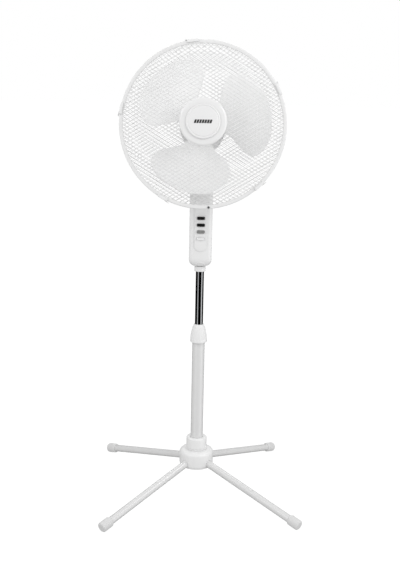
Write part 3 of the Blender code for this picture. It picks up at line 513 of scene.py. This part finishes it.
def make_leg(number, turn):
    space = leg_space(turn)
    reach = math.hypot(LEG_REACH, LEG_RISE - FOOT_HEIGHT)
    tube_end = reach + 0.010
    cap_end = reach + 0.018
    cap_start = reach - 0.016
    inside = LEG_RADIUS - TUBE_WALL
    tube_profile = [(inside, tube_end), (LEG_RADIUS, tube_end), (LEG_RADIUS, LEG_START), (inside, LEG_START)]
    stand_in(f"leg_{number}", lathe(tube_profile, 64), space)
    bore = LEG_RADIUS + GAP
    profile = [(0.0, cap_end), (CAP_RADIUS, cap_end, 0.0038), (CAP_RADIUS, cap_start + 0.0035, 0.003)]
    profile += [(bore + 0.0008, cap_start, 0.0004), (bore, cap_start)]
    profile += [(bore, tube_end + GAP), (0.0, tube_end + GAP)]
    cap = moved(lathe(rounded(profile), 64), space)
    bm = bmesh.new()
    bm.from_mesh(cap)
    everything = bm.verts[:] + bm.edges[:] + bm.faces[:]
    down = (0, 0, -1)
    found = bmesh.ops.bisect_plane(bm, geom=everything, plane_co=(0, 0, 0), plane_no=down, clear_outer=True)
    edges = [part for part in found["geom_cut"] if isinstance(part, bmesh.types.BMEdge)]
    bmesh.ops.contextual_create(bm, geom=edges)
    stand_in(f"foot_cap_{number}", mesh_from(bm), finish="cap_white")


def make_base():
    make_hub()
    for i, turn in enumerate(LEG_ANGLES):
        make_leg(i + 1, turn)
    low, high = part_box("base_collar")
    socket = OUTER_RADIUS + GAP
    profile = [(socket, high.z, 0.0006), (high.x, high.z, 0.0036), (high.x, 0.1275, 0.0012)]
    profile += [(0.0268, 0.1260, 0.0010), (0.0268, low.z), (socket, low.z)]
    stand_in("base_collar", lathe(rounded(profile)))


# ---------------------------------------------------------------- pole


def flutes(count, depth, low, high, least):
    """A ripple of grip flutes between two heights, on the surface outside a radius."""

    def ripple(turn, radius, height):
        if radius < least or not low < height < high:
            return 0.0
        fade = min(1.0, (height - low) / 0.002, (high - height) / 0.006)
        return -depth * fade * (0.5 - 0.5 * math.cos(turn * count)) ** 2

    return ripple


def make_pole():
    low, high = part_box("outer_tube")
    inside = OUTER_RADIUS - TUBE_WALL
    profile = [(inside, high.z), (OUTER_RADIUS, high.z, 0.0004), (OUTER_RADIUS, low.z), (BOLT_HOLE, low.z)]
    profile += [(BOLT_HOLE, low.z + 0.003), (inside, low.z + 0.003)]
    stand_in("outer_tube", lathe(rounded(profile)))
    low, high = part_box("inner_tube")
    inside = INNER_RADIUS - TUBE_WALL
    profile = [(inside, high.z), (INNER_RADIUS, high.z), (INNER_RADIUS, low.z), (inside, low.z)]
    stand_in("inner_tube", lathe(profile))
    make_height_collar()
    low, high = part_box("neck_collar")
    grip = INNER_RADIUS + GAP
    profile = [(grip, high.z), (high.x, high.z), (high.x, low.z, 0.0014), (grip, low.z, 0.0004)]
    stand_in("neck_collar", lathe(rounded(profile)))


def make_height_collar():
    low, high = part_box("height_collar")
    grip = INNER_RADIUS + GAP
    sleeve = OUTER_RADIUS + GAP
    shoulder = low.z + 0.0066
    outer = [(0.0134, high.z), (0.0154, 0.4868), (0.0178, 0.4807), (0.0197, 0.4735), (0.0213, 0.4661)]
    outer += [(0.0224, 0.4590), (0.0230, 0.4520), (0.0231, shoulder + 0.0010), (high.x, shoulder)]
    smooth = [outer[0]]
    for (r0, z0), (r1, z1) in zip(outer, outer[1:-1]):
        smooth += [((r0 * (3 - i) + r1 * i) / 3, (z0 * (3 - i) + z1 * i) / 3) for i in (1, 2, 3)]
    lip = rounded([outer[-2], (high.x, shoulder, 0.0008), (high.x, low.z, 0.0016), (sleeve, low.z)])[1:-1]
    profile = [(grip, high.z)] + smooth + lip + [(sleeve, low.z), (sleeve, 0.4520), (0.0142, 0.4785)]
    profile += [(0.0142, 0.4810), (grip, 0.4830)]
    ripple = flutes(18, 0.0006, shoulder + 0.0008, 0.4880, 0.0145)
    stand_in("height_collar", lathe(profile, 180, ripple))


# ---------------------------------------------------------------- control column


def rounding(radius, depth):
    """How far a rounded edge stands back at a depth below its end face."""
    short = min(max(radius - depth, 0.0), radius)
    return radius - math.sqrt(radius**2 - short**2)


def crown(x):
    return FRONT_CROWN * (x / COLUMN_HIGH.x) ** 2


def column_ring(height, inset):
    """The column's outline at a height: a rectangle with round corners and a slightly crowned front."""
    above = height - COLUMN_LOW.z - inset
    below = COLUMN_HIGH.z - inset - height
    radii = {key: radius - inset for key, radius in COLUMN_ROUNDS.items()}
    top = rounding(radii["top"], below)
    half = COLUMN_HIGH.x - inset - max(rounding(radii["side"], above), top)
    front = COLUMN_LOW.y + inset + max(rounding(radii["front"], above), top)
    back = COLUMN_BACK - inset - max(rounding(radii["back"], above), top)
    edge = COLUMN_EDGE - inset
    points = []
    for x, y, start in ((half, back, 0), (-half, back, 90), (-half, front, 180), (half, front, 270)):
        centre = (x - math.copysign(edge, x), y - math.copysign(edge, y))
        points += arc(centre, edge, start, start + 90, 10)
        if start == 180:
            points += [((half - edge) * share, front) for share in (-0.5, 0.0, 0.5)]
    return [(x, y + (crown(x) if y < 0 else 0.0), height) for x, y in points]


def column_block(inset):
    bottom, top = COLUMN_LOW.z + inset, COLUMN_HIGH.z - inset
    edge = COLUMN_ROUNDS["top"] - inset
    side = COLUMN_ROUNDS["front"]
    heights = [bottom + side * (1 - math.cos(math.radians(9 * i))) for i in range(11)]
    heights += [bottom + 0.060, bottom + 0.110, bottom + 0.160]
    heights += [top - edge * math.cos(math.radians(18 * i)) for i in range(6)]
    return loft([column_ring(height, inset) for height in heights])


def front_at(x, height):
    """The column's front surface near its foot."""
    return COLUMN_LOW.y + rounding(COLUMN_ROUNDS["front"], height - COLUMN_LOW.z) + crown(x)


def make_housings():
    tube_hole = (INNER_RADIUS + GAP, COLUMN_LOW.z - 0.01, COLUMN_LOW.z + 0.03)
    half_gap = GAP / 2
    window = block(*BUTTON_WINDOW)
    arch = []
    for degrees in range(0, 181, 6):
        turn = math.radians(degrees)
        x, z = 0.0145 * math.cos(turn), 0.659 + 0.0125 * math.sin(turn)
        arch.append((x, front_at(x, z) + 0.0002, z))
    rib = tube([arch], 0.0013, 2)
    front = cut(
        column_block(0.0),
        column_block(COLUMN_WALL),
        block((-0.05, -half_gap, 0.6), (0.05, 0.05, 0.9)),
        rod(*tube_hole),
        window,
    )
    stand_in("control_housing_front", joined(front, rib))
    out = Matrix.Rotation(-math.pi / 2, 4, "X")
    gland_at = (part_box("cord_gland")[0].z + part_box("cord_gland")[1].z) / 2
    screw_at = (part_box("column_screw")[0].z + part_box("column_screw")[1].z) / 2
    rear = cut(
        column_block(0.0),
        column_block(COLUMN_WALL),
        block((-0.05, -0.05, 0.6), (0.05, half_gap, 0.9)),
        rod(*tube_hole),
        moved(rod(0.0065, 0.02, 0.04), Matrix.Translation((0, 0, gland_at)) @ out),
        moved(rod(0.0027, 0.02, 0.04), Matrix.Translation((0, 0, screw_at)) @ out),
    )
    stand_in("control_housing_rear", rear)
    back = COLUMN_BACK + GAP
    gland = [(0.0034, 0.0345, 0.0006), (0.0066, 0.0345, 0.0010), (0.009, 0.0322, 0.0008), (0.009, back)]
    gland += [(0.0062, back), (0.0062, 0.0275), (0.0078, 0.0270), (0.0078, 0.0245), (0.0034, 0.0245)]
    stand_in("cord_gland", lathe(rounded(gland), 64), Matrix.Translation((0, 0, gland_at)) @ out)
    screw = [(0.0, 0.0365), (0.007, 0.0365, 0.0010), (0.007, back), (0.0024, back)]
    screw += [(0.0024, INNER_RADIUS + GAP), (0.0, INNER_RADIUS + GAP)]
    cross = [block((-0.0032, -0.0006, 0.0352), (0.0032, 0.0006, 0.04))]
    cross.append(block((-0.0006, -0.0032, 0.0352), (0.0006, 0.0032, 0.04)))
    head = cut(lathe(rounded(screw), 64), *cross)
    stand_in("column_screw", head, Matrix.Translation((0, 0, screw_at)) @ out)


def button_middle(node):
    low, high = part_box(node)
    return (low.z + high.z) / 2


def make_panel():
    low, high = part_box("control_panel")
    half = high.x
    outline = arc((0, low.z + half), half, 180, 360, 24) + arc((0, high.z - half), half, 0, 180, 24)
    slots = []
    for node in BUTTONS:
        middle = (0, button_middle(node))
        slots.append(rounded_box(BUTTON_WIDTH / 2 + GAP, BUTTON_TALL / 2 + GAP, 0.0024, middle))
    to_front = Matrix.Rotation(math.pi / 2, 4, "X")
    panel = slab([outline] + slots, -high.y - 0.0008, -low.y, 0.0007)
    stand_in("control_panel", moved(panel, to_front))


def make_button(node):
    low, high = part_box(node)
    middle = button_middle(node)
    face = low.y
    edge = 0.0013
    dish = 0.0007
    steps = [(0.0, high.y), (0.0, face + edge)]
    for degrees in (30, 60, 90):
        turn = math.radians(degrees)
        steps.append((edge * (1 - math.cos(turn)), face + edge * (1 - math.sin(turn))))
    steps += [(edge + 0.0004, face + 0.15 * dish), (edge + 0.0010, face + 0.6 * dish)]
    steps.append((edge + 0.0016, face + dish))
    rings = []
    for inset, y in steps:
        outline = rounded_box(BUTTON_WIDTH / 2 - inset, BUTTON_TALL / 2 - inset, max(0.0022 - inset, 0.0003))
        rings.append([(x, y, middle + z) for x, z in outline])
    stand_in(node, loft(rings))


# ---------------------------------------------------------------- neck


def make_yoke():
    low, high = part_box("tilt_yoke")
    pivot = joint("tilt")["pos_m"][2]
    ear = high.z - pivot
    foot = low.z - pivot
    slot, floor = 0.0217, 0.8815 - pivot
    side = [(-ear, foot), (ear, foot)] + arc((0, 0), ear, 0, 180, 36)
    base = [(-ear, foot), (ear, foot), (ear, floor), (-ear, floor)]
    hole = circle((0, 0), BOLT_HOLE, 32)
    ears = [slab([side, hole], start, start + high.x - slot, 0.0014) for start in (-high.x, slot)]
    yoke = joined(slab([base], -high.x, high.x, 0.0014), *ears)
    stand_in("tilt_yoke", moved(yoke, Matrix.Translation((0, 0, pivot)) @ ON_X))
    head = -high.x - GAP
    bolt = [(0.0, high.x), (BOLT_HOLE - GAP, high.x), (BOLT_HOLE - GAP, head), (0.006, head, 0.0003)]
    bolt += [(0.0054, head - 0.0030, 0.0010), (0.0, head - 0.0035)]
    recess = slab([arc((0, 0), 0.0022, 0, 300, 5)], head - 0.006, head - 0.0016)
    stand_in("tilt_bolt", cut(lathe(rounded(bolt), 48), recess), Matrix.Translation((0, 0, pivot)) @ ON_X)


def make_knuckle():
    half = extent("tilt_knuckle", HEAD)[1]
    radius = 0.0135
    side = arc((0, 0), radius, 180, 360, 36) + [(radius, 0.0262), (-radius, 0.0262)]
    hole = circle((0, 0), BOLT_HOLE, 32)
    knuckle = moved(slab([side, hole], -0.0212, 0.0212, 0.0010), ON_X)
    disc = lathe(rounded([(0.0, 0.031), (half.y, 0.031, 0.0008), (half.y, 0.0242, 0.0015), (0.0, 0.0242)]))
    lug = rod(0.002, 0.0275, 0.0405, at=(-0.019, 0.010), steps=24)
    bore = rod(0.0051, 0.0065, 0.05)
    stand_in("tilt_knuckle", cut(joined(knuckle, disc, lug), bore), HEAD)


# ---------------------------------------------------------------- motor housing


def make_covers():
    low, high = extent("motor_rear_cover", MOTOR)
    radius = high.x
    wall = 0.0025
    corner = 0.024
    to_motor = MOTOR.inverted() @ HEAD
    shell = lathe(
        [(0.0, high.z), (radius, high.z)]
        + arc((radius - corner, low.z + corner), corner, 0, -90, 18)
        + [(0.0, low.z)]
    )
    hollow = lathe(
        [(0.0, high.z + 0.01), (radius - wall, high.z + 0.01)]
        + arc((radius - corner, low.z + corner), corner - wall, 0, -90, 18)
        + [(0.0, low.z + wall)]
    )
    skirt_foot = extent("motor_rear_cover", HEAD)[0].z
    skirt = moved(slab([stadium(0.001, 0.051, 0.0297)], skirt_foot, 0.110), to_motor)
    inside = moved(slab([stadium(0.001, 0.051, 0.0275)], 0.02, 0.1105), to_motor)
    spindle = extent("oscillation_knob", HEAD)
    knob_at = ((spindle[0].x + spindle[1].x) / 2, (spindle[0].y + spindle[1].y) / 2)
    knob_hole = moved(rod(0.0032, 0.16, 0.20, at=knob_at), to_motor)
    vents = []
    for i in range(5):
        reach = 0.024 - abs(i - 2) * 0.004
        vent = slab([stadium(0.002 - reach, reach - 0.002, 0.002)], low.z - 0.01, low.z + 0.01)
        vents.append(moved(vent, Matrix.Translation(((i - 2) * 0.014, 0, 0))))
    stand_in("motor_rear_cover", cut(joined(shell, skirt), hollow, inside, knob_hole, *vents), MOTOR)
    back = high.z + GAP
    spigot = SPIGOT_HOLE - GAP
    lid = [(0.0062, 0.047), (spigot, 0.047, 0.0005), (spigot, 0.0317), (radius, 0.0317, 0.0014)]
    lid += [(radius, back), (0.055, back), (0.055, 0.025), (0.053, 0.025), (0.053, back)]
    lid += [(0.019, back), (0.019, 0.045), (0.0062, 0.045)]
    stand_in("motor_front_cover", lathe(rounded(lid)), MOTOR)
    make_knob(knob_at, spindle)


def make_knob(at, box):
    low, high = box
    under = 0.1935
    profile = [(0.0, high.z), (0.009, high.z, 0.0014), (0.0086, under, 0.0006), (0.0028, under)]
    profile += [(0.0028, low.z), (0.0, low.z)]

    def grip(turn, radius, height):
        if radius < 0.006 or height > high.z - 0.0012:
            return 0.0
        return -0.0004 * (0.5 - 0.5 * math.cos(20 * turn))

    stand_in("oscillation_knob", lathe(rounded(profile), 120, grip), HEAD @ Matrix.Translation((*at, 0)))


# ---------------------------------------------------------------- guard


def front_height(radius):
    """Height of the front mesh, a shallow spherical cap."""
    ball = (MESH_RADIUS**2 + FRONT_SAG**2) / (2 * FRONT_SAG)
    return FRONT_MESH_EDGE + math.sqrt(ball**2 - radius**2) - (ball - FRONT_SAG)


def rear_height(radius):
    """Height of the rear mesh, a basket with a steep side and a flat back."""
    share = min(radius / MESH_RADIUS, 1.0)
    return REAR_MESH_EDGE - REAR_DEPTH * math.sqrt(1 - share**REAR_STEEPNESS)


def mesh_wires(height, hole):
    """Two families of wires across a guard, crossing over each other, as a mesh."""
    lines = []
    count = int(MESH_RADIUS / MESH_PITCH)
    for side in (-1, 1):
        along = Vector((math.cos(side * MESH_ANGLE), math.sin(side * MESH_ANGLE)))
        across = Vector((-along.y, along.x))
        for i in range(-count - 1, count + 1):
            offset = (i + 0.5) * MESH_PITCH
            if abs(offset) > MESH_RADIUS - 0.002:
                continue
            end = math.sqrt(MESH_RADIUS**2 - offset**2)
            start = math.sqrt(hole**2 - offset**2) if abs(offset) < hole else 0.0
            for low, high in ((-end, -start), (start, end)) if start else ((-end, end),):
                steps = max(4, round((high - low) / 0.006))
                line = []
                for k in range(steps + 1):
                    share = (1 - math.cos(math.pi * k / steps)) / 2
                    flat = along * (low + (high - low) * share) + across * offset
                    line.append((flat.x, flat.y, height(min(flat.length, MESH_RADIUS)) + side * WIRE_RADIUS))
                lines.append(line)
    return tube(lines, WIRE_RADIUS)


def rim(low, high, outer, width):
    """A ring with a flange at its front that holds the mesh."""
    inner, wall = outer - width, outer - 0.0035
    behind = high - 0.0040
    corners = [(inner, behind, 0.0010), (inner, high, 0.0018), (outer, high, 0.0026), (outer, low, 0.0012)]
    return lathe(rounded(corners + [(wall, low, 0.0010), (wall, behind)]), 240)


def make_guards():
    low, high = extent("front_guard", MOTOR)
    outer = high.x
    front = merged(mesh_wires(front_height, FRONT_HOLE), rim(low.z, RIM_FRONT, outer, FRONT_RING_WIDTH))
    stand_in("front_guard", front, MOTOR)
    low, high = extent("rear_guard", MOTOR)
    plate = [(SPIGOT_HOLE, 0.0345, 0.0005), (0.060, 0.0345, 0.0010), (0.060, 0.0320, 0.0010)]
    plate += [(SPIGOT_HOLE, 0.0320)]
    ring = rim(RIM_JOINT, high.z, outer, REAR_RING_WIDTH)
    rear = merged(mesh_wires(rear_height, REAR_HOLE), ring, lathe(rounded(plate)))
    stand_in("rear_guard", rear, MOTOR)
    low, high = extent("guard_screw", MOTOR)
    at = Vector(((low.x + high.x) / 2, (low.y + high.y) / 2, 0))
    under = RIM_FRONT + GAP
    screw = [(0.0, high.z), (0.003, high.z, 0.0007), (0.003, under), (0.0014, under)]
    screw += [(0.0014, low.z), (0.0, low.z)]
    cross = [block((-0.0018, -0.0004, high.z - 0.0012), (0.0018, 0.0004, 0.12))]
    cross.append(block((-0.0004, -0.0018, high.z - 0.0012), (0.0004, 0.0018, 0.12)))
    stand_in("guard_screw", cut(lathe(rounded(screw), 32), *cross), MOTOR @ Matrix.Translation(at))
    low, high = extent("guard_nut", MOTOR)
    nut = [(SPIGOT_HOLE, high.z), (0.031, high.z, 0.001), (high.x, 0.042, 0.0008), (high.x, low.z)]
    nut += [(SPIGOT_HOLE, low.z)]

    def grip(turn, radius, height):
        return -0.0009 * (0.5 - 0.5 * math.cos(24 * turn)) ** 2 if radius > 0.0325 else 0.0

    stand_in("guard_nut", lathe(rounded(nut), 192, grip), MOTOR)


def make_hub_plates():
    low, high = extent("guard_hub_plate", MOTOR)
    edge = high.x
    behind = high.z - 0.0030
    plate = [(0.0, high.z), (0.0560, behind + 0.0022, 0.006), (edge, behind - 0.0010, 0.0010), (edge, low.z)]
    plate += [(0.0580, low.z), (0.0550, behind, 0.0010), (0.0, behind)]
    stand_in("guard_hub_plate", lathe(rounded(plate), 144), MOTOR)
    base, top = (corner.z for corner in extent("guard_badge", MOTOR))
    badge = [(0.0, top), (0.0360, top - 0.0007, 0.004), (0.0385, base + 0.0024, 0.0006)]
    badge += [(0.0402, base + 0.0036, 0.0008), (0.0422, base + 0.0031, 0.0010)]
    badge += [(0.0435, base + 0.0010, 0.0005), (0.0435, base), (0.0, base)]
    stand_in("guard_badge", lathe(rounded(badge), 144), MOTOR)
    make_mark(top)


def make_mark(top):
    """A plain airflow motif in place of lettering: a short row of slanted bars."""
    bars = []
    count = 7
    for i in range(count):
        across = (i - (count - 1) / 2) * 0.0064
        low, high, lean, half = -0.0050, 0.0038, 0.0014, 0.0024
        outline = [(across - half - lean, low), (across + half - lean, low), (across + half + lean, high)]
        outline.append((across - half + lean, high))
        surface = top - 0.0007 * abs(across) / 0.036
        bars.append(slab([outline], surface - 0.0004, surface + 0.0002))
    add_piece("badge_mark", merged(*bars), "button_black", BODIES["guard_badge"], MOTOR)


def clip_section():
    """The C-shaped section of a clip: out from the rim, and forwards."""
    inner, grip, outer = -0.0060, -0.0005, 0.0014
    low, high = 0.0940, 0.1160
    lip_low, lip_high = 0.0965, 0.1135
    return rounded(
        [(inner, low, 0.0008), (outer, low, 0.0018), (outer, high, 0.0018), (inner, high, 0.0008)]
        + [(inner, lip_high, 0.0005), (grip, lip_high), (grip, lip_low), (inner, lip_low, 0.0005)]
    )


def make_clip(number, degrees):
    ring = extent("front_guard", MOTOR)[1].x
    half = CLIP_LENGTH / 2 / ring
    middle = math.radians(degrees)
    rows = []
    for i in range(13):
        turn = middle - half + 2 * half * i / 12
        taper = 0.0006 if i in (0, 12) else 0.0
        rows.append(
            [
                ((ring + out - taper) * math.cos(turn), (ring + out - taper) * math.sin(turn), forward)
                for out, forward in clip_section()
            ]
        )
    lever = [(-0.0004, CLIP_LENGTH - 0.0070), (0.0018, CLIP_LENGTH - 0.0070), (0.0030, CLIP_LENGTH + 0.0045)]
    lever += [(0.0022, CLIP_LENGTH + 0.0058), (0.0008, CLIP_LENGTH + 0.0052)]
    local = Matrix.Rotation(middle, 4, "Z") @ Matrix.Translation((ring + 0.0010, -CLIP_LENGTH / 2, 0))
    tab = moved(slab([lever], 0.1000, 0.1100, 0.0004), local)
    stand_in(f"guard_clip_{number}", joined(loft(rows), tab), MOTOR)


# ---------------------------------------------------------------- propeller


def eased(points, at):
    """The value at a place along (place, value) points, on a smooth curve through them."""
    last = len(points) - 1
    i = next((k for k in range(last) if at <= points[k + 1][0]), last - 1)
    slopes = []
    for k in (i, i + 1):
        (x0, y0), (x1, y1) = points[max(k - 1, 0)], points[min(k + 1, last)]
        slopes.append((y1 - y0) / (x1 - x0))
    (x0, y0), (x1, y1) = points[i], points[i + 1]
    span = x1 - x0
    t = (at - x0) / span
    value = y0 * (2 * t**3 - 3 * t**2 + 1) + y1 * (3 * t**2 - 2 * t**3)
    return value + span * (slopes[0] * (t**3 - 2 * t**2 + t) + slopes[1] * (t**3 - t**2))


def blade_surface(radius, across):
    """A point of a blade's middle surface, across it from 0 at the leading edge to 1 at the trailing edge."""
    share = radius / BLADE_TIP
    lead, trail = eased(LEADING_EDGE, share), eased(TRAILING_EDGE, share)
    angle = math.radians(lead + (trail - lead) * across)
    camber = BLADE_CAMBER * (1 - (2 * across - 1) ** 2) * share
    return angle, BLADE_PLANE + BLADE_LEAD * angle + camber


def make_blade(turn):
    """One curved blade, drawn as a grid from root to tip and thickened."""
    rows, columns = 26, 18
    bm = bmesh.new()
    bmesh.ops.create_grid(bm, x_segments=columns, y_segments=rows, size=1.0)
    for vert in bm.verts:
        across, out = (vert.co.x + 1) / 2, math.sin((vert.co.y + 1) * math.pi / 4)
        radius = BLADE_ROOT + (BLADE_TIP - BLADE_ROOT) * out
        angle, height = blade_surface(radius, across)
        vert.co = (radius * math.cos(turn + angle), radius * math.sin(turn + angle), height)
    made = link(bpy.data.objects.new("blade", mesh_from(bm)))
    skin = made.modifiers.new("thickness", "SOLIDIFY")
    skin.thickness = BLADE_THICK
    skin.offset = 0.0
    fine = made.modifiers.new("fine", "SUBSURF")
    fine.levels = 1
    fine.render_levels = 1
    bpy.context.view_layer.update()
    depsgraph = bpy.context.evaluated_depsgraph_get()
    result = bpy.data.meshes.new_from_object(made.evaluated_get(depsgraph))
    bpy.data.objects.remove(made)
    return smoothed(result)


def make_propeller():
    low, high = BLADE_PLANE - 0.024, BLADE_PLANE + 0.020
    hub = [(SHAFT_BORE, high), (0.032, high, 0.009), (0.034, low, 0.0008), (0.031, low)]
    hub += [(0.028, high - 0.012), (0.010, high - 0.012), (0.010, low + 0.004), (SHAFT_BORE, low + 0.004)]
    blades = [make_blade(FIRST_BLADE + i * math.tau / BLADE_COUNT) for i in range(BLADE_COUNT)]
    stand_in("propeller", joined(lathe(rounded(hub)), *blades), MOTOR)
    low, high = extent("blade_nut", MOTOR)
    nut = [(0.0, high.z), (0.0140, high.z - 0.0008, 0.004), (high.x, low.z + 0.004, 0.002), (high.x, low.z)]
    nut += [(SHAFT_BORE, low.z), (SHAFT_BORE, 0.121), (0.0, 0.121)]

    def grip(turn, radius, height):
        return -0.0007 * (0.5 - 0.5 * math.cos(16 * turn)) if radius > 0.0145 else 0.0

    stand_in("blade_nut", lathe(rounded(nut), 128, grip), MOTOR)


# ---------------------------------------------------------------- room, light and camera


def make_floor():
    """A floor as bright to the camera as the room; it takes no part in the light on the fan."""
    bm = bmesh.new()
    bmesh.ops.create_circle(bm, cap_ends=True, segments=64, radius=FLOOR_RADIUS)
    floor = link(bpy.data.objects.new("floor", mesh_from(bm)))
    floor.location.z = -FLOOR_DROP
    made = bpy.data.materials.new("floor_pale")
    made.use_nodes = True
    tree = made.node_tree
    shader = tree.nodes["Principled BSDF"]
    colour = tones(tree, noise(tree, 0.4), (0.10, 0.10, 0.10), (0.11, 0.11, 0.11))
    tree.links.new(colour, shader.inputs["Base Color"])
    shader.inputs["Roughness"].default_value = 0.9
    shader.inputs["Specular IOR Level"].default_value = 0.0
    shader.inputs["Emission Color"].default_value = (1, 1, 1, 1)
    shader.inputs["Emission Strength"].default_value = FLOOR_GLOW
    made.cycles.emission_sampling = "NONE"
    floor.data.materials.append(made)
    floor.visible_glossy = False
    floor.visible_diffuse = False
    floor.visible_shadow = False


def softbox(name, at, target, wide, tall, radiance):
    light = bpy.data.lights.new(name, "AREA")
    light.shape = "RECTANGLE"
    light.size = wide
    light.size_y = tall
    light.energy = radiance * math.pi * wide * tall
    made = link(bpy.data.objects.new(name, light))
    made.location = at
    made.rotation_mode = "QUATERNION"
    made.rotation_quaternion = (Vector(at) - Vector(target)).to_track_quat("Z", "Y")
    return made


def make_light():
    world = bpy.data.worlds.new("studio")
    bpy.context.scene.world = world
    world.use_nodes = True
    tree = world.node_tree
    seen = tree.nodes["Background"]
    seen.inputs["Color"].default_value = (1, 1, 1, 1)
    seen.inputs["Strength"].default_value = 1.0
    felt = tree.nodes.new("ShaderNodeBackground")
    felt.inputs["Strength"].default_value = SKY
    felt.inputs["Color"].default_value = (1, 1, 1, 1)
    rays = tree.nodes.new("ShaderNodeLightPath")
    mix = tree.nodes.new("ShaderNodeMixShader")
    tree.links.new(rays.outputs["Is Camera Ray"], mix.inputs["Fac"])
    tree.links.new(felt.outputs["Background"], mix.inputs[1])
    tree.links.new(seen.outputs["Background"], mix.inputs[2])
    tree.links.new(mix.outputs["Shader"], tree.nodes["World Output"].inputs["Surface"])
    world.cycles_visibility.glossy = False
    for name, (turn, distance, height, wide, tall, radiance) in SOFTBOXES.items():
        angle = math.radians(turn)
        at = (distance * math.sin(angle), -distance * math.cos(angle), height)
        softbox(name, at, (0, 0, min(height, 0.9)), wide, tall, radiance)


def make_camera():
    turn, down = CAMERA_TURN, CAMERA_DOWN
    forward = Vector((math.sin(turn) * math.cos(down), math.cos(turn) * math.cos(down), -math.sin(down)))
    level = Vector((math.cos(turn), -math.sin(turn), 0))
    up = level.cross(forward)
    right = level * math.cos(CAMERA_ROLL) + up * math.sin(CAMERA_ROLL)
    upright = up * math.cos(CAMERA_ROLL) - level * math.sin(CAMERA_ROLL)
    camera = link(bpy.data.objects.new("camera", bpy.data.cameras.new("camera")))
    camera.data.lens = CAMERA_LENS
    camera.matrix_world = axes(right, upright, -forward, CAMERA_AT)
    bpy.context.scene.camera = camera


def finish_cad_nodes():
    """The nodes that are shown as packed get their node materials."""
    for node, found in frame["nodes"].items():
        found.data.materials.clear()
        found.data.materials.append(finish_of(SLOTS[node]))


def main():
    bpy.context.scene.view_settings.view_transform = "Standard"
    finish_cad_nodes()
    make_base()
    make_pole()
    make_housings()
    make_panel()
    for node in BUTTONS:
        make_button(node)
    make_yoke()
    make_knuckle()
    make_covers()
    make_guards()
    make_hub_plates()
    for i, degrees in enumerate(CLIP_ANGLES):
        make_clip(i + 1, degrees)
    make_propeller()
    make_floor()
    make_light()
    make_camera()


main()
